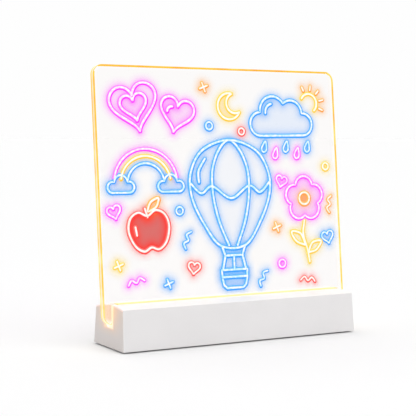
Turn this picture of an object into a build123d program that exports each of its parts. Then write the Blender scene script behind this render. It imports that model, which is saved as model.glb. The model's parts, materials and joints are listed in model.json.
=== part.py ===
from build123d import *
import math
import os

# A clear writing panel that stands in the slot of a long light base.
# X runs along the base, -Y is the front, +Z is up. The origin is on the floor, under the middle of the base.
# Every length is in millimetres and every angle in degrees.

# Shell of the base
base_length = 240.0  # at the lower edge
base_depth = 60.0  # at the lower edge
end_draft = 0.9  # how far each end has leaned in at the front top edge
side_draft = 3.2  # how far the front and the back have leaned in there
ground_gap = 1.3  # from the floor up to the shell's lower edge
front_edge_height = 36.5
rear_edge_height = 34.0
crown_rise = 2.8  # how far the top bulges above a straight line across it
wall = 2.4
edge_round = 0.6

# Slot along the top, and the trough inside the shell that forms it
slot_width = 17.0
slot_floor_height = 18.3
slot_front_round = 0.6
slot_rear_round = 8.0
trough_wall = 2.0
trough_floor = 3.0
window_width = 8.0  # light passes up through this window in the trough's floor
window_end_gap = 10.0  # from the end of the base to the end of the window

# Stiffening ribs between the trough and the outer walls
rib_thickness = 1.6
rib_place_shares = (-0.44, -0.19, 0.19, 0.44)  # along the base

# Panel
panel_width = 252.5
panel_height = 225.0
panel_thickness = 6.0
panel_corner = 9.0
panel_edge_chamfer = 0.5
panel_lean = 6.0  # degrees back from upright
seat_clearance = 0.1  # under the panel's lower edge
pocket_clearance = 0.35  # between each face of the panel and the cradle

# Cradle: the channel in the slot that holds the panel
cradle_inset = 0.3  # how far its ends and its top lie inside the shell's outer form, but for the lip
cradle_clearance = 0.1  # to each wall of the slot
cradle_web = 2.6  # below the panel's front edge
front_rail = 3.2  # thickness of the front rail beside the panel's lower edge
lip_rise = 1.2  # how far the cradle's lip stands above the crown
lip_end_gap = 4.3  # from the end of the base to the end of the lip

# Soft strips in the cradle that grip the panel
grip_height = 7.0
grip_base_height = 6.0  # from the panel's lower edge up to a strip
grip_depth = 1.3  # of a strip
grip_clearance = 0.1  # from a strip to the panel
grip_end_gap = 11.3  # from the end of the base to the end of a strip

# Bottom cover and feet
cover_drop = 0.6  # how far the cover hangs below the shell's lower edge
cover_thickness = 2.2
cover_clearance = 0.2
cover_corner = 1.0
foot_radius = 6.0
foot_height = 1.6
foot_end_inset = 14.0  # from the end of the base to the middle of a foot
foot_side_inset = 12.0  # from the front or the back of the base
foot_clearance = 0.1
foot_chamfer = 0.3

# Screws that hold the cover to bosses inside the shell
boss_radius = 3.5
pilot_depth = 10.0
cover_screw_shares = (-0.375, 0.0, 0.375)  # along the base
cover_screw_radius = 1.5
cover_screw_head_radius = 2.8
cover_screw_head_height = 1.5
cover_screw_length = 9.0
thread_clearance = 0.05  # between a screw and the plastic that it cuts into
shank_clearance = 0.2  # between a screw and a hole that it passes through
head_clearance = 0.1
screw_tip = 0.8
drive_slot_width_share = 0.22  # of the head's radius
drive_slot_length_share = 1.2  # of the head's radius
drive_slot_depth_share = 0.5  # of the head's height

# Light source
led_board_width = 16.0
led_board_thickness = 1.2
led_board_end_gap = 5.0  # from the end of the base to the end of the board
led_size = 5.0
led_height = 1.5
led_pitch = 9.2
led_window_radius = 2.0
led_window_height = 0.15
led_screw_end_inset = 2.6  # from the end of the board to its end screws
led_screw_side_share = 0.72  # of half the board's width
led_screw_place_shares = (-0.16, 0.16)  # along the board
led_screw_radius = 0.9
led_screw_head_radius = 1.5
led_screw_head_height = 1.1
led_screw_length = 3.8

# Control board, behind and under the trough
board_length = 50.0
board_thickness = 1.6
board_rear_gap = 0.5  # from the board's rear edge to the pressed button's flange
board_header_gap = 1.3  # from the head of the front screw to the header for the leads
board_boss_gap = 1.5  # from the board to the nearest cover boss
board_hole_inset = 3.0
board_boss_radius = 2.6
board_screw_radius = 1.0
board_screw_head_radius = 1.8
board_screw_head_height = 1.2
board_screw_length = 4.4

# Power inlet on the control board
inlet_place_share = 0.24  # along the board, from its middle
inlet_width = 8.94
inlet_height = 3.26
inlet_length = 8.9
inlet_shell = 0.3
inlet_recess = 0.6  # from the shell's outer face in to the inlet's mouth
inlet_core = 2.2
tongue_width = 6.7
tongue_thickness = 0.7
tongue_length = 4.4
port_clearance = 0.35

# Power button and the switch behind it
button_place_share = -0.24  # along the board, from its middle
button_radius = 4.0
button_edge = 0.5
button_dish = 0.3
button_dish_radius = 12.0
button_rise = 0.8  # how far the button stands out of the shell
button_travel = 0.5
button_clearance = 0.25
flange_radius = 5.2
flange_thickness = 1.1
flange_gap = 0.15  # between the flange and the inside of the rear wall
switch_axis_height = 3.0  # above the board
switch_width = 6.0
switch_height = 5.6
switch_depth = 3.5
plunger_radius = 1.7
plunger_clearance = 0.05
plunger_length = 3.9
plunger_engagement = 1.0  # how much of the plunger is inside the switch at rest

# Small parts on the control board
chip_size = 5.0
chip_height = 0.9
chip_place_shares = (-0.08, 0.02)  # of the board's length and depth, from its middle
transistor_width = 1.4
transistor_length = 2.9
transistor_height = 1.0
transistor_place_shares = ((0.10, -0.22), (0.10, -0.02))
resistor_width = 0.8
resistor_length = 1.6
resistor_height = 0.45
resistor_row_share = (-0.24, -0.34)
resistor_pitch = 2.4
resistor_count = 5
capacitor_radius = 2.5
capacitor_height = 5.4
capacitor_place_shares = (0.02, 0.30)

# Leads from the control board up to the light board
header_width = 6.0  # along Y
header_length = 6.4  # along X
header_height = 4.0
header_wall = 0.6
header_gap = 1.0  # from the header up to the light board
plug_reach = 3.0  # how far the plug stands out of the header
plug_clearance = 0.1
lead_radius = 0.6
lead_pitch = 2.4
lead_first_run = 10.0
lead_rise_run = 16.0
lead_last_run = 12.0
lead_radius_share = 0.45
joint_length = 2.4
joint_width = 1.8
joint_round = 0.4

# Ballast in the front of the base
ballast_height = 10.0
ballast_gap = 1.2  # to the bosses, the trough and the front wall
ballast_standoff = 1.2
ballast_chamfer = 0.6
ballast_hole_share = 0.34  # along a bar, each way from its middle
ballast_boss_radius = 3.4
ballast_screw_radius = 1.5
ballast_screw_head_radius = 2.7
ballast_screw_head_height = 1.6
ballast_screw_length = 11.5

overrun = 5.0  # how far a cutter passes the faces that it cuts

# Worked out from the sizes above
draft_height = front_edge_height - ground_gap
cover_bottom = ground_gap - cover_drop
cover_top = cover_bottom + cover_thickness
trough_bottom = slot_floor_height - trough_floor
trough_half = slot_width / 2 + trough_wall
led_board_bottom = trough_bottom - led_board_thickness
board_top = led_board_bottom - header_gap - header_height
board_bottom = board_top - board_thickness
seat_height = slot_floor_height + cradle_web + seat_clearance
seat_y = -slot_width / 2 + cradle_clearance + front_rail + pocket_clearance
button_z = board_top + switch_axis_height
inlet_z = board_top + inlet_height / 2

on_base = (Align.CENTER, Align.CENTER, Align.MIN)


def half_depth(z):
    """Half the shell's depth at a height."""
    return base_depth / 2 - side_draft * (z - ground_gap) / draft_height


def half_length(z):
    """Half the shell's length at a height."""
    return base_length / 2 - end_draft * (z - ground_gap) / draft_height


def base_form(inset, low):
    """The base's outer form, taken in by inset at the sides and the top, from the height low up."""
    front_z = front_edge_height - inset
    rear_z = rear_edge_height - inset
    front_y = -(half_depth(front_z) - inset)
    rear_y = half_depth(rear_z) - inset
    chord = math.hypot(rear_y - front_y, rear_z - front_z)
    middle = (
        (front_y + rear_y) / 2 + crown_rise * (front_z - rear_z) / chord,
        (front_z + rear_z) / 2 + crown_rise * (rear_y - front_y) / chord,
    )
    outline = [
        Line((half_depth(low) - inset, low), (rear_y, rear_z)),
        ThreePointArc((rear_y, rear_z), middle, (front_y, front_z)),
        Line((front_y, front_z), (inset - half_depth(low), low)),
        Line((inset - half_depth(low), low), (half_depth(low) - inset, low)),
    ]
    section = Plane.YZ * make_face(outline)
    top = front_edge_height + crown_rise - inset
    ends = Plane.XZ * make_face(
        Polyline(
            (inset - half_length(low), low),
            (half_length(low) - inset, low),
            (half_length(top) - inset, top),
            (inset - half_length(top), top),
            close=True,
        )
    )
    along = extrude(section, amount=base_length / 2 + overrun, both=True)
    across = extrude(ends, amount=base_depth / 2 + overrun, both=True)
    return along & across


def block(x0, x1, y0, y1, z0, z1):
    """A box between two corners."""
    size = Box(x1 - x0, y1 - y0, z1 - z0)
    return Pos((x0 + x1) / 2, (y0 + y1) / 2, (z0 + z1) / 2) * size


def post(x, y, z0, z1, radius):
    """An upright cylinder."""
    return Pos(x, y, z0) * Cylinder(radius, z1 - z0, align=on_base)


def along_y(radius, x, y0, y1, z):
    """A cylinder along Y."""
    return Pos(x, y1, z) * Rot(90, 0, 0) * Cylinder(radius, y1 - y0, align=on_base)


def rounded_below(shape, shrink):
    """Rounds a long shape's two lower edges to the slot's corners, less a clearance."""
    lower = shape.edges().filter_by(Axis.X).group_by(Axis.Z)[0].sort_by(Axis.Y)
    shape = fillet(lower[-1], slot_rear_round - shrink)
    lower = shape.edges().filter_by(Axis.X).group_by(Axis.Z)[0].sort_by(Axis.Y)
    return fillet(lower[0], slot_front_round - shrink)


def leaned(shape):
    """Carries a shape from the panel's own frame, with its front lower edge at the origin, into its place."""
    return Pos(0, seat_y, seat_height) * Rot(-panel_lean, 0, 0) * shape


def cross_drive(head_radius, head_height, z):
    """The cutter for a cross recess in a head whose outer face is at z."""
    length = head_radius * drive_slot_length_share
    width = head_radius * drive_slot_width_share
    depth = 2 * head_height * drive_slot_depth_share
    return Pos(0, 0, z) * (Box(length, width, depth) + Box(width, length, depth))


def shank(radius, length, head_height):
    """A screw's shank with a short tapered tip, upwards from the head's inner face."""
    straight = Pos(0, 0, head_height) * Cylinder(radius, length - head_height - screw_tip, align=on_base)
    tip = Pos(0, 0, length - screw_tip) * Cone(radius, radius / 2, screw_tip, align=on_base)
    return straight + tip


def countersunk_screw(radius, head_radius, head_height, length):
    """A screw that points up, with the outer face of its countersunk head at the origin."""
    head = Cone(head_radius, radius, head_height, align=on_base)
    return head + shank(radius, length, head_height) - cross_drive(head_radius, head_height, 0)


def pan_screw(radius, head_radius, head_height, length):
    """A screw that points up, with the outer face of its flat round head at the origin."""
    head = Cylinder(head_radius, head_height, align=on_base)
    head = fillet(head.edges().group_by(Axis.Z)[0], head_height / 2)
    return head + shank(radius, length, head_height) - cross_drive(head_radius, head_height, 0)


def cover_screw_places():
    """Where the cover's screws stand: in both chambers of the shell."""
    middle = (trough_half + half_depth(slot_floor_height) - wall) / 2
    return [(share * base_length, side * middle) for share in cover_screw_shares for side in (-1, 1)]


def foot_places():
    """The middles of the feet."""
    x = base_length / 2 - foot_end_inset
    y = base_depth / 2 - foot_side_inset
    return [(a * x, b * y) for a in (-1, 1) for b in (-1, 1)]


def board_box():
    """The control board's corners in plan: from the screws beside the header back to the button."""
    last_boss = max(cover_screw_shares) * base_length
    header_front = led_board_width / 2 - header_width
    x1 = last_boss - boss_radius - board_boss_gap
    y0 = header_front - board_header_gap - board_screw_head_radius - board_hole_inset
    y1 = flange_rear() - flange_thickness - button_travel - board_rear_gap
    return x1 - board_length, x1, y0, y1


def on_board(length_share, depth_share):
    """A place on the control board, in shares of its size from its middle."""
    x0, x1, y0, y1 = board_box()
    return (x0 + x1) / 2 + length_share * (x1 - x0), (y0 + y1) / 2 + depth_share * (y1 - y0)


def board_hole_places():
    """The control board's four screw holes."""
    x0, x1, y0, y1 = board_box()
    xs = (x0 + board_hole_inset, x1 - board_hole_inset)
    ys = (y0 + board_hole_inset, y1 - board_hole_inset)
    return [(x, y) for x in xs for y in ys]


def ballast_bars():
    """The ballast bars' corners in plan: one on each side of the middle front boss."""
    inner = boss_radius + ballast_gap
    outer = max(cover_screw_shares) * base_length - boss_radius - ballast_gap
    y0 = ballast_gap + wall - half_depth(cover_top + ballast_standoff + ballast_height)
    y1 = -trough_half - ballast_gap / 2
    return [(-outer, -inner, y0, y1), (inner, outer, y0, y1)]


def ballast_hole_places():
    """The holes through the ballast bars."""
    places = []
    for x0, x1, y0, y1 in ballast_bars():
        for side in (-1, 1):
            places.append(((x0 + x1) / 2 + side * ballast_hole_share * (x1 - x0), (y0 + y1) / 2))
    return places


def led_screw_places():
    """The light board's screws: one at each end and two beside the row of lights."""
    half = base_length / 2 - led_board_end_gap
    side = led_screw_side_share * led_board_width / 2
    ends = [(-half + led_screw_end_inset, 0), (half - led_screw_end_inset, 0)]
    first, last = led_screw_place_shares
    return ends + [(2 * half * first, side), (2 * half * last, -side)]


def led_places():
    """The lights' places along the board, as many as the window holds."""
    room = base_length - 2 * window_end_gap - led_size
    count = int(room / led_pitch) + 1
    return [(i - (count - 1) / 2) * led_pitch for i in range(count)]


def port_profile(clearance):
    """The inlet's outline in its own plane, grown by a clearance."""
    width = inlet_width + 2 * clearance
    height = inlet_height + 2 * clearance
    x, _ = on_board(inlet_place_share, 0)
    outline = SlotOverall(width, height)
    return Plane(origin=(x, 0, inlet_z), x_dir=(1, 0, 0), z_dir=(0, 1, 0)) * outline


def inlet_mouth():
    """How far back the inlet's mouth lies."""
    return half_depth(inlet_z) - inlet_recess


def switch_rear():
    """How far back the switch's face lies, from which the plunger stands out."""
    flange_front = flange_rear() - flange_thickness
    return flange_front - plunger_length + plunger_engagement


def flange_rear():
    """How far back the button's flange reaches, just inside the sloping rear wall."""
    return half_depth(button_z + flange_radius) - wall - flange_gap


def base_housing():
    """The white shell, with its trough, bosses and ribs, and the ports in its rear wall."""
    outer = base_form(0, ground_gap)
    sharp = [e for e in outer.edges() if e.bounding_box().max.Z > ground_gap + edge_round]
    outer = fillet(sharp, edge_round)
    shell = outer - base_form(wall, ground_gap - overrun)
    high = front_edge_height + crown_rise
    far = base_length / 2 + overrun
    inside = block(-far, far, -trough_half, trough_half, trough_bottom, high)
    for share in rib_place_shares:
        x = share * base_length
        edge = base_depth / 2
        inside += block(x - rib_thickness / 2, x + rib_thickness / 2, -edge, edge, slot_floor_height, high)
    for x, y in cover_screw_places():
        inside += post(x, y, cover_top, high, boss_radius)
    shell += inside & base_form(wall / 2, ground_gap)
    slot = block(-far, far, -slot_width / 2, slot_width / 2, slot_floor_height, high + overrun)
    slot = rounded_below(slot, 0)
    window_half = base_length / 2 - window_end_gap
    low = trough_bottom - overrun
    shell -= slot
    shell -= block(-window_half, window_half, -window_width / 2, window_width / 2, low, high)
    for x, y in cover_screw_places():
        shell -= post(x, y, cover_top - overrun, cover_top + pilot_depth, cover_screw_radius + thread_clearance)
    for x, y in led_screw_places():
        shell -= post(x, y, low, slot_floor_height + overrun, led_screw_radius + thread_clearance)
    port = extrude(port_profile(port_clearance), amount=base_depth)
    shell -= port
    button_x, _ = on_board(button_place_share, 0)
    hole = along_y(button_radius + button_clearance, button_x, trough_half, base_depth, button_z)
    return shell - hole


def acrylic_panel():
    """The clear panel, with rounded corners and a fine chamfer round both faces."""
    outline = Plane.XZ * RectangleRounded(panel_width, panel_height, panel_corner)
    plate = extrude(outline, amount=-panel_thickness)
    faces = plate.faces().filter_by(Axis.Y)
    plate = chamfer(faces.edges(), panel_edge_chamfer)
    return leaned(Pos(0, 0, panel_height / 2) * plate)


def grip_groove(front, depth, clearance):
    """A strip's space in the panel's frame: beside the front face or the back face of the panel."""
    half = base_length / 2 - grip_end_gap + clearance
    low = grip_base_height - clearance
    high = grip_base_height + grip_height + clearance
    near = grip_clearance - clearance
    if front:
        return leaned(block(-half, half, -near - depth, -near, low, high))
    rear = panel_thickness
    return leaned(block(-half, half, rear + near, rear + near + depth, low, high))


def panel_cradle():
    """The milky channel: two rails and a web, cut to the panel's lean, with a lip above the crown."""
    half = base_length / 2
    lip_half = half - lip_end_gap
    side = slot_width / 2 - cradle_clearance
    high = front_edge_height + crown_rise + lip_rise + overrun
    channel = block(-half, half, -side, side, slot_floor_height, high)
    channel = rounded_below(channel, cradle_clearance)
    middle = channel & block(-lip_half, lip_half, -side, side, slot_floor_height, high)
    channel &= base_form(cradle_inset, ground_gap)
    channel += middle & base_form(-lip_rise, ground_gap)
    pocket = block(
        -half - overrun,
        half + overrun,
        -pocket_clearance,
        panel_thickness + pocket_clearance,
        -seat_clearance,
        panel_height,
    )
    channel -= leaned(pocket)
    for front in (True, False):
        channel -= grip_groove(front, grip_depth + grip_clearance, grip_clearance)
    return channel


def front_grip_strip():
    """The soft strip in the front rail."""
    return grip_groove(True, grip_depth, 0)


def rear_grip_strip():
    """The soft strip in the rear rail."""
    return grip_groove(False, grip_depth, 0)


def bottom_cover():
    """The dark plate that closes the base, with bosses for the board and the ballast."""
    half_x = half_length(cover_top) - wall - cover_clearance
    half_y = half_depth(cover_top) - wall - cover_clearance
    plate = block(-half_x, half_x, -half_y, half_y, cover_bottom, cover_top)
    plate = fillet(plate.edges().filter_by(Axis.Z), cover_corner)
    pilot_floor = cover_bottom + cover_thickness / 4
    for x, y in board_hole_places():
        plate += post(x, y, cover_bottom, board_bottom, board_boss_radius)
        plate -= post(x, y, pilot_floor, board_top, board_screw_radius + thread_clearance)
    for x, y in ballast_hole_places():
        high = cover_top + ballast_standoff
        plate += post(x, y, cover_bottom, high, ballast_boss_radius)
        plate -= post(x, y, pilot_floor, high + overrun, ballast_screw_radius + thread_clearance)
    for x, y in cover_screw_places():
        plate -= post(x, y, cover_bottom - overrun, cover_top + overrun, cover_screw_radius + shank_clearance)
        seat = Cone(
            cover_screw_head_radius + head_clearance,
            cover_screw_radius + head_clearance,
            cover_screw_head_height,
            align=on_base,
        )
        plate -= Pos(x, y, cover_bottom) * seat
    for x, y in foot_places():
        plate -= post(x, y, cover_bottom - overrun, foot_height, foot_radius + foot_clearance)
    return plate


def rubber_feet():
    """Four feet, each in its recess under the cover."""
    foot = Cylinder(foot_radius, foot_height, align=on_base)
    foot = chamfer(foot.edges().group_by(Axis.Z)[0], foot_chamfer)
    return Compound([Pos(x, y, 0) * foot for x, y in foot_places()])


def cover_screws():
    """The cover's countersunk screws."""
    screw = countersunk_screw(
        cover_screw_radius, cover_screw_head_radius, cover_screw_head_height, cover_screw_length
    )
    return Compound([Pos(x, y, cover_bottom) * screw for x, y in cover_screw_places()])


def led_board():
    """The long board that lies against the underside of the trough."""
    half = base_length / 2 - led_board_end_gap
    side = led_board_width / 2
    board = block(-half, half, -side, side, led_board_bottom, trough_bottom)
    for x, y in led_screw_places():
        low = led_board_bottom - overrun
        board -= post(x, y, low, trough_bottom + overrun, led_screw_radius + shank_clearance)
    return board


def led_packages():
    """The bodies of the lights, in a row."""
    body = Box(led_size, led_size, led_height, align=on_base)
    cup = Pos(0, 0, led_height - led_window_height) * Cylinder(led_window_radius, led_height, align=on_base)
    return Compound([Pos(x, 0, trough_bottom) * (body - cup) for x in led_places()])


def led_phosphor_windows():
    """The yellow window in each light."""
    window = Cylinder(led_window_radius, led_window_height, align=on_base)
    z = trough_bottom + led_height - led_window_height
    return Compound([Pos(x, 0, z) * window for x in led_places()])


def led_board_screws():
    """The light board's screws, heads down."""
    screw = pan_screw(led_screw_radius, led_screw_head_radius, led_screw_head_height, led_screw_length)
    z = led_board_bottom - led_screw_head_height
    return Compound([Pos(x, y, z) * screw for x, y in led_screw_places()])


def control_board():
    """The control board with its screw holes."""
    x0, x1, y0, y1 = board_box()
    board = block(x0, x1, y0, y1, board_bottom, board_top)
    for x, y in board_hole_places():
        board -= post(x, y, board_bottom - overrun, board_top + overrun, board_screw_radius + shank_clearance)
    return board


def control_board_screws():
    """The control board's screws, heads up."""
    screw = pan_screw(board_screw_radius, board_screw_head_radius, board_screw_head_height, board_screw_length)
    z = board_top + board_screw_head_height
    return Compound([Pos(x, y, z) * Rot(180, 0, 0) * screw for x, y in board_hole_places()])


def usb_c_shell():
    """The inlet's metal shell, open at the rear wall."""
    start = Pos(0, inlet_mouth() - inlet_length, 0)
    tube = extrude(start * port_profile(0), amount=inlet_length)
    bore = extrude(start * port_profile(-inlet_shell), amount=inlet_length + overrun)
    return tube - Pos(0, -overrun / 2, 0) * bore


def usb_c_tongue():
    """The inlet's plastic core and tongue."""
    back = inlet_mouth() - inlet_length
    core = extrude(Pos(0, back, 0) * port_profile(-inlet_shell), amount=inlet_core)
    x, _ = on_board(inlet_place_share, 0)
    half = tongue_width / 2
    low = inlet_z - tongue_thickness / 2
    tongue = block(x - half, x + half, back, back + inlet_core + tongue_length, low, low + tongue_thickness)
    return core + tongue


def switch_body():
    """The switch's body, with the bore that the plunger runs in."""
    x, _ = on_board(button_place_share, 0)
    rear = switch_rear()
    half = switch_width / 2
    body = block(x - half, x + half, rear - switch_depth, rear, board_top, board_top + switch_height)
    bore_depth = plunger_engagement + 2 * button_travel
    return body - along_y(plunger_radius + plunger_clearance, x, rear - bore_depth, rear + overrun, button_z)


def switch_plunger():
    """The plunger between the switch and the button."""
    x, _ = on_board(button_place_share, 0)
    front = switch_rear() - plunger_engagement
    return along_y(plunger_radius, x, front, front + plunger_length, button_z)


def button_cap():
    """The button, with the flange that keeps it in the shell and a shallow dish in its face."""
    x, _ = on_board(button_place_share, 0)
    rear = flange_rear()
    face = half_depth(button_z) + button_rise
    flange = along_y(flange_radius, x, rear - flange_thickness, rear, button_z)
    stem = along_y(button_radius, x, rear - flange_thickness / 2, face, button_z)
    rim = stem.edges().group_by(Axis.Y)[-1]
    stem = fillet(rim, button_edge)
    dish = Pos(x, face + button_dish_radius - button_dish, button_z) * Sphere(button_dish_radius)
    return flange + stem - dish


def control_chip():
    """The controller chip."""
    x, y = on_board(*chip_place_shares)
    return Pos(x, y, board_top) * Box(chip_size, chip_size, chip_height, align=on_base)


def driver_transistors():
    """The transistors that drive the lights."""
    body = Box(transistor_length, transistor_width, transistor_height, align=on_base)
    return Compound([Pos(*on_board(*shares), board_top) * body for shares in transistor_place_shares])


def chip_resistors():
    """A row of small resistors."""
    body = Box(resistor_width, resistor_length, resistor_height, align=on_base)
    x, y = on_board(*resistor_row_share)
    start = x - (resistor_count - 1) / 2 * resistor_pitch
    return Compound([Pos(start + i * resistor_pitch, y, board_top) * body for i in range(resistor_count)])


def filter_capacitor():
    """The round capacitor behind the trough."""
    x, y = on_board(*capacitor_place_shares)
    can = Pos(x, y, board_top) * Cylinder(capacitor_radius, capacitor_height, align=on_base)
    return fillet(can.edges().group_by(Axis.Z)[-1], capacitor_radius / 6)


def header_place():
    """The header's left face and its middle along Y, just inside the light board's rear edge."""
    x0, _, _, _ = board_box()
    return x0, led_board_width / 2 - header_width / 2


def lead_header():
    """The header at the left edge of the control board, open to the left."""
    x, y = header_place()
    half = header_width / 2
    body = block(x, x + header_length, y - half, y + half, board_top, board_top + header_height)
    inner = half - header_wall
    low = board_top + header_wall
    high = board_top + header_height - header_wall
    return body - block(x - overrun, x + header_length / 2, y - inner, y + inner, low, high)


def lead_plug():
    """The plug in the header."""
    x, y = header_place()
    half = header_width / 2 - header_wall - plug_clearance
    low = board_top + header_wall + plug_clearance
    high = board_top + header_height - header_wall - plug_clearance
    return block(x - plug_reach, x + header_length / 2, y - half, y + half, low, high)


def lead(side):
    """One lead: out of the plug, gently up, and along the underside of the light board to its joint."""
    x, y = header_place()
    start = (x - plug_reach, y + side * lead_pitch / 2, board_top + header_height / 2)
    high = led_board_bottom - lead_radius - seat_clearance
    points = [
        start,
        (start[0] - lead_first_run, start[1], start[2]),
        (start[0] - lead_first_run - lead_rise_run, start[1], high),
        (start[0] - lead_first_run - lead_rise_run - lead_last_run, start[1], high),
    ]
    turn = math.atan2(high - start[2], lead_rise_run)
    radius = lead_radius_share * lead_first_run / math.tan(turn / 2)
    path = FilletPolyline(*points, radius=radius)
    profile = Plane(origin=start, z_dir=(-1, 0, 0)) * Circle(lead_radius)
    return sweep(profile, path=path), points[-1]


def led_lead_red():
    """The supply lead."""
    return lead(1)[0]


def led_lead_black():
    """The return lead."""
    return lead(-1)[0]


def solder_joints():
    """The joints under the light board where the leads end."""
    joints = []
    for side in (-1, 1):
        x, y, z = lead(side)[1]
        low = z - lead_radius - seat_clearance
        joint = block(x - joint_length, x, y - joint_width / 2, y + joint_width / 2, low, led_board_bottom)
        joints.append(fillet(joint.edges().filter_by(Axis.Z), joint_round))
    return Compound(joints)


def ballast_plates():
    """The steel bars in the front of the base."""
    low = cover_top + ballast_standoff
    bars = []
    for x0, x1, y0, y1 in ballast_bars():
        bar = block(x0, x1, y0, y1, low, low + ballast_height)
        bars.append(chamfer(bar.edges(), ballast_chamfer))
    bars = Compound(bars)
    top = low + ballast_height
    for x, y in ballast_hole_places():
        bars -= post(x, y, low - overrun, top + overrun, ballast_screw_radius + shank_clearance)
        seat = post(x, y, top - ballast_screw_head_height, top + overrun, ballast_screw_head_radius + head_clearance)
        bars -= seat
    return bars


def ballast_screws():
    """The ballast's screws, heads up and sunk in the bars."""
    screw = pan_screw(
        ballast_screw_radius, ballast_screw_head_radius, ballast_screw_head_height, ballast_screw_length
    )
    z = cover_top + ballast_standoff + ballast_height
    return Compound([Pos(x, y, z) * Rot(180, 0, 0) * screw for x, y in ballast_hole_places()])


pieces = (
    acrylic_panel,
    base_housing,
    bottom_cover,
    panel_cradle,
    front_grip_strip,
    rear_grip_strip,
    rubber_feet,
    cover_screws,
    led_board,
    led_packages,
    led_phosphor_windows,
    led_board_screws,
    control_board,
    control_board_screws,
    usb_c_shell,
    usb_c_tongue,
    button_cap,
    switch_body,
    switch_plunger,
    control_chip,
    driver_transistors,
    chip_resistors,
    filter_capacitor,
    lead_header,
    lead_plug,
    led_lead_red,
    led_lead_black,
    solder_joints,
    ballast_plates,
    ballast_screws,
)

os.makedirs("parts", exist_ok=True)
for piece in pieces:
    export_step(piece(), f"parts/{piece.__name__}.step")
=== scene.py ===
"""A clear drawing panel that stands in the slot of its light base, dressed for the camera.

X runs along the base, -Y is the front and +Z is up, in metres. The origin is on the floor, under the
middle of the base. The frame's nodes carry the construction. The panel, its rim with its painted glow and
its drawing are modelled here, in the place that the frame gives the panel.
"""
import json
import logging
import math
from dataclasses import dataclass, field, replace
from enum import Enum, IntEnum
from typing import Callable, Optional, Sequence, Union

import bmesh
import bpy
import numpy as np
from mathutils import Matrix, Vector


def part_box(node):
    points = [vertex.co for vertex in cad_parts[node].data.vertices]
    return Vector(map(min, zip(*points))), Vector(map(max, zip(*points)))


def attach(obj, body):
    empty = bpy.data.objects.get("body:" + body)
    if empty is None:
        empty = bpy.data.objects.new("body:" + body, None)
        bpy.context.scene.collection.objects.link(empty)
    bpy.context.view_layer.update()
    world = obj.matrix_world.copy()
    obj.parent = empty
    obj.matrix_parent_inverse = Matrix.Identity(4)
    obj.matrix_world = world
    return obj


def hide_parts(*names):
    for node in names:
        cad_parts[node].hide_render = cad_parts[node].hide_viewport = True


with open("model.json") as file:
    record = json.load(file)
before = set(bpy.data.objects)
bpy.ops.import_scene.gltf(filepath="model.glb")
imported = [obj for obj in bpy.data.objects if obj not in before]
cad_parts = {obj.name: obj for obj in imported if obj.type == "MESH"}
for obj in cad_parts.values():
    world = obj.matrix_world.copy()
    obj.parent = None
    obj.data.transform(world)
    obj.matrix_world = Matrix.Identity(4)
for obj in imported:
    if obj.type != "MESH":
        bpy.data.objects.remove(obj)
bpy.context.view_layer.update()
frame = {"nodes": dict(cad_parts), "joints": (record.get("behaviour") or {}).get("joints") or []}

logging.basicConfig(level=logging.INFO, format="%(message)s")
log = logging.getLogger("drawing_pad")

MM = 0.001
# A normal or an edge whose share along an axis is above this runs along it; below AWAY it runs across it.
ALONG = 0.9
AWAY = 0.1
Point = tuple[float, float]
Line = Sequence[Point]
Socket = bpy.types.NodeSocket
Value = Union[float, Sequence[float], Socket]
Inputs = dict[Union[str, int], Value]
# Where noise turns one tone into the other, and where it changes the roughness.
TONE_STOPS = (0.35, 0.65)
SHINE_SPAN = (0.3, 0.7)
# The smoothest that a plain finish gets, and how strong its grain is.
SMOOTHEST = 0.02
GRAIN_STRENGTH = 0.4
# How far apart the points of an arc are, in degrees.
ARC_STEP = 12


def linear(colour: str) -> tuple[float, float, float, float]:
    """Turns an sRGB hex colour into the linear values that a socket takes.

    Args:
        colour: the colour as #RRGGBB.

    Returns:
        Red, green, blue and alpha.
    """
    parts = [int(colour[i : i + 2], 16) / 255 for i in (1, 3, 5)]
    return (*[c / 12.92 if c <= 0.04045 else ((c + 0.055) / 1.055) ** 2.4 for c in parts], 1.0)


def per_metre(size: float) -> float:
    """The scale of a pattern whose features are size millimetres across."""
    return 1 / (size * MM)


def feed(tree: bpy.types.NodeTree, node: bpy.types.Node, key: Union[str, int], value: Value) -> None:
    """Sets one input of a node, or links it where the value is another node's output.

    Args:
        tree: the node tree.
        node: the node.
        key: the input's name or number.
        value: its value, or the output that feeds it.
    """
    if isinstance(value, Socket):
        tree.links.new(value, node.inputs[key])
    else:
        node.inputs[key].default_value = value


def add_node(
    tree: bpy.types.NodeTree, kind: str, inputs: Optional[Inputs] = None, **settings: object
) -> bpy.types.Node:
    """Adds a node.

    Args:
        tree: the material's or the world's node tree.
        kind: the node's class without its ShaderNode, such as TexNoise.
        inputs: values and outputs, by the name or number of the input that they feed.
        settings: the node's own settings.

    Returns:
        The new node.
    """
    node = tree.nodes.new(f"ShaderNode{kind}")
    for name, setting in settings.items():
        setattr(node, name, setting)
    for key, value in (inputs or {}).items():
        feed(tree, node, key, value)
    return node


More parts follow.
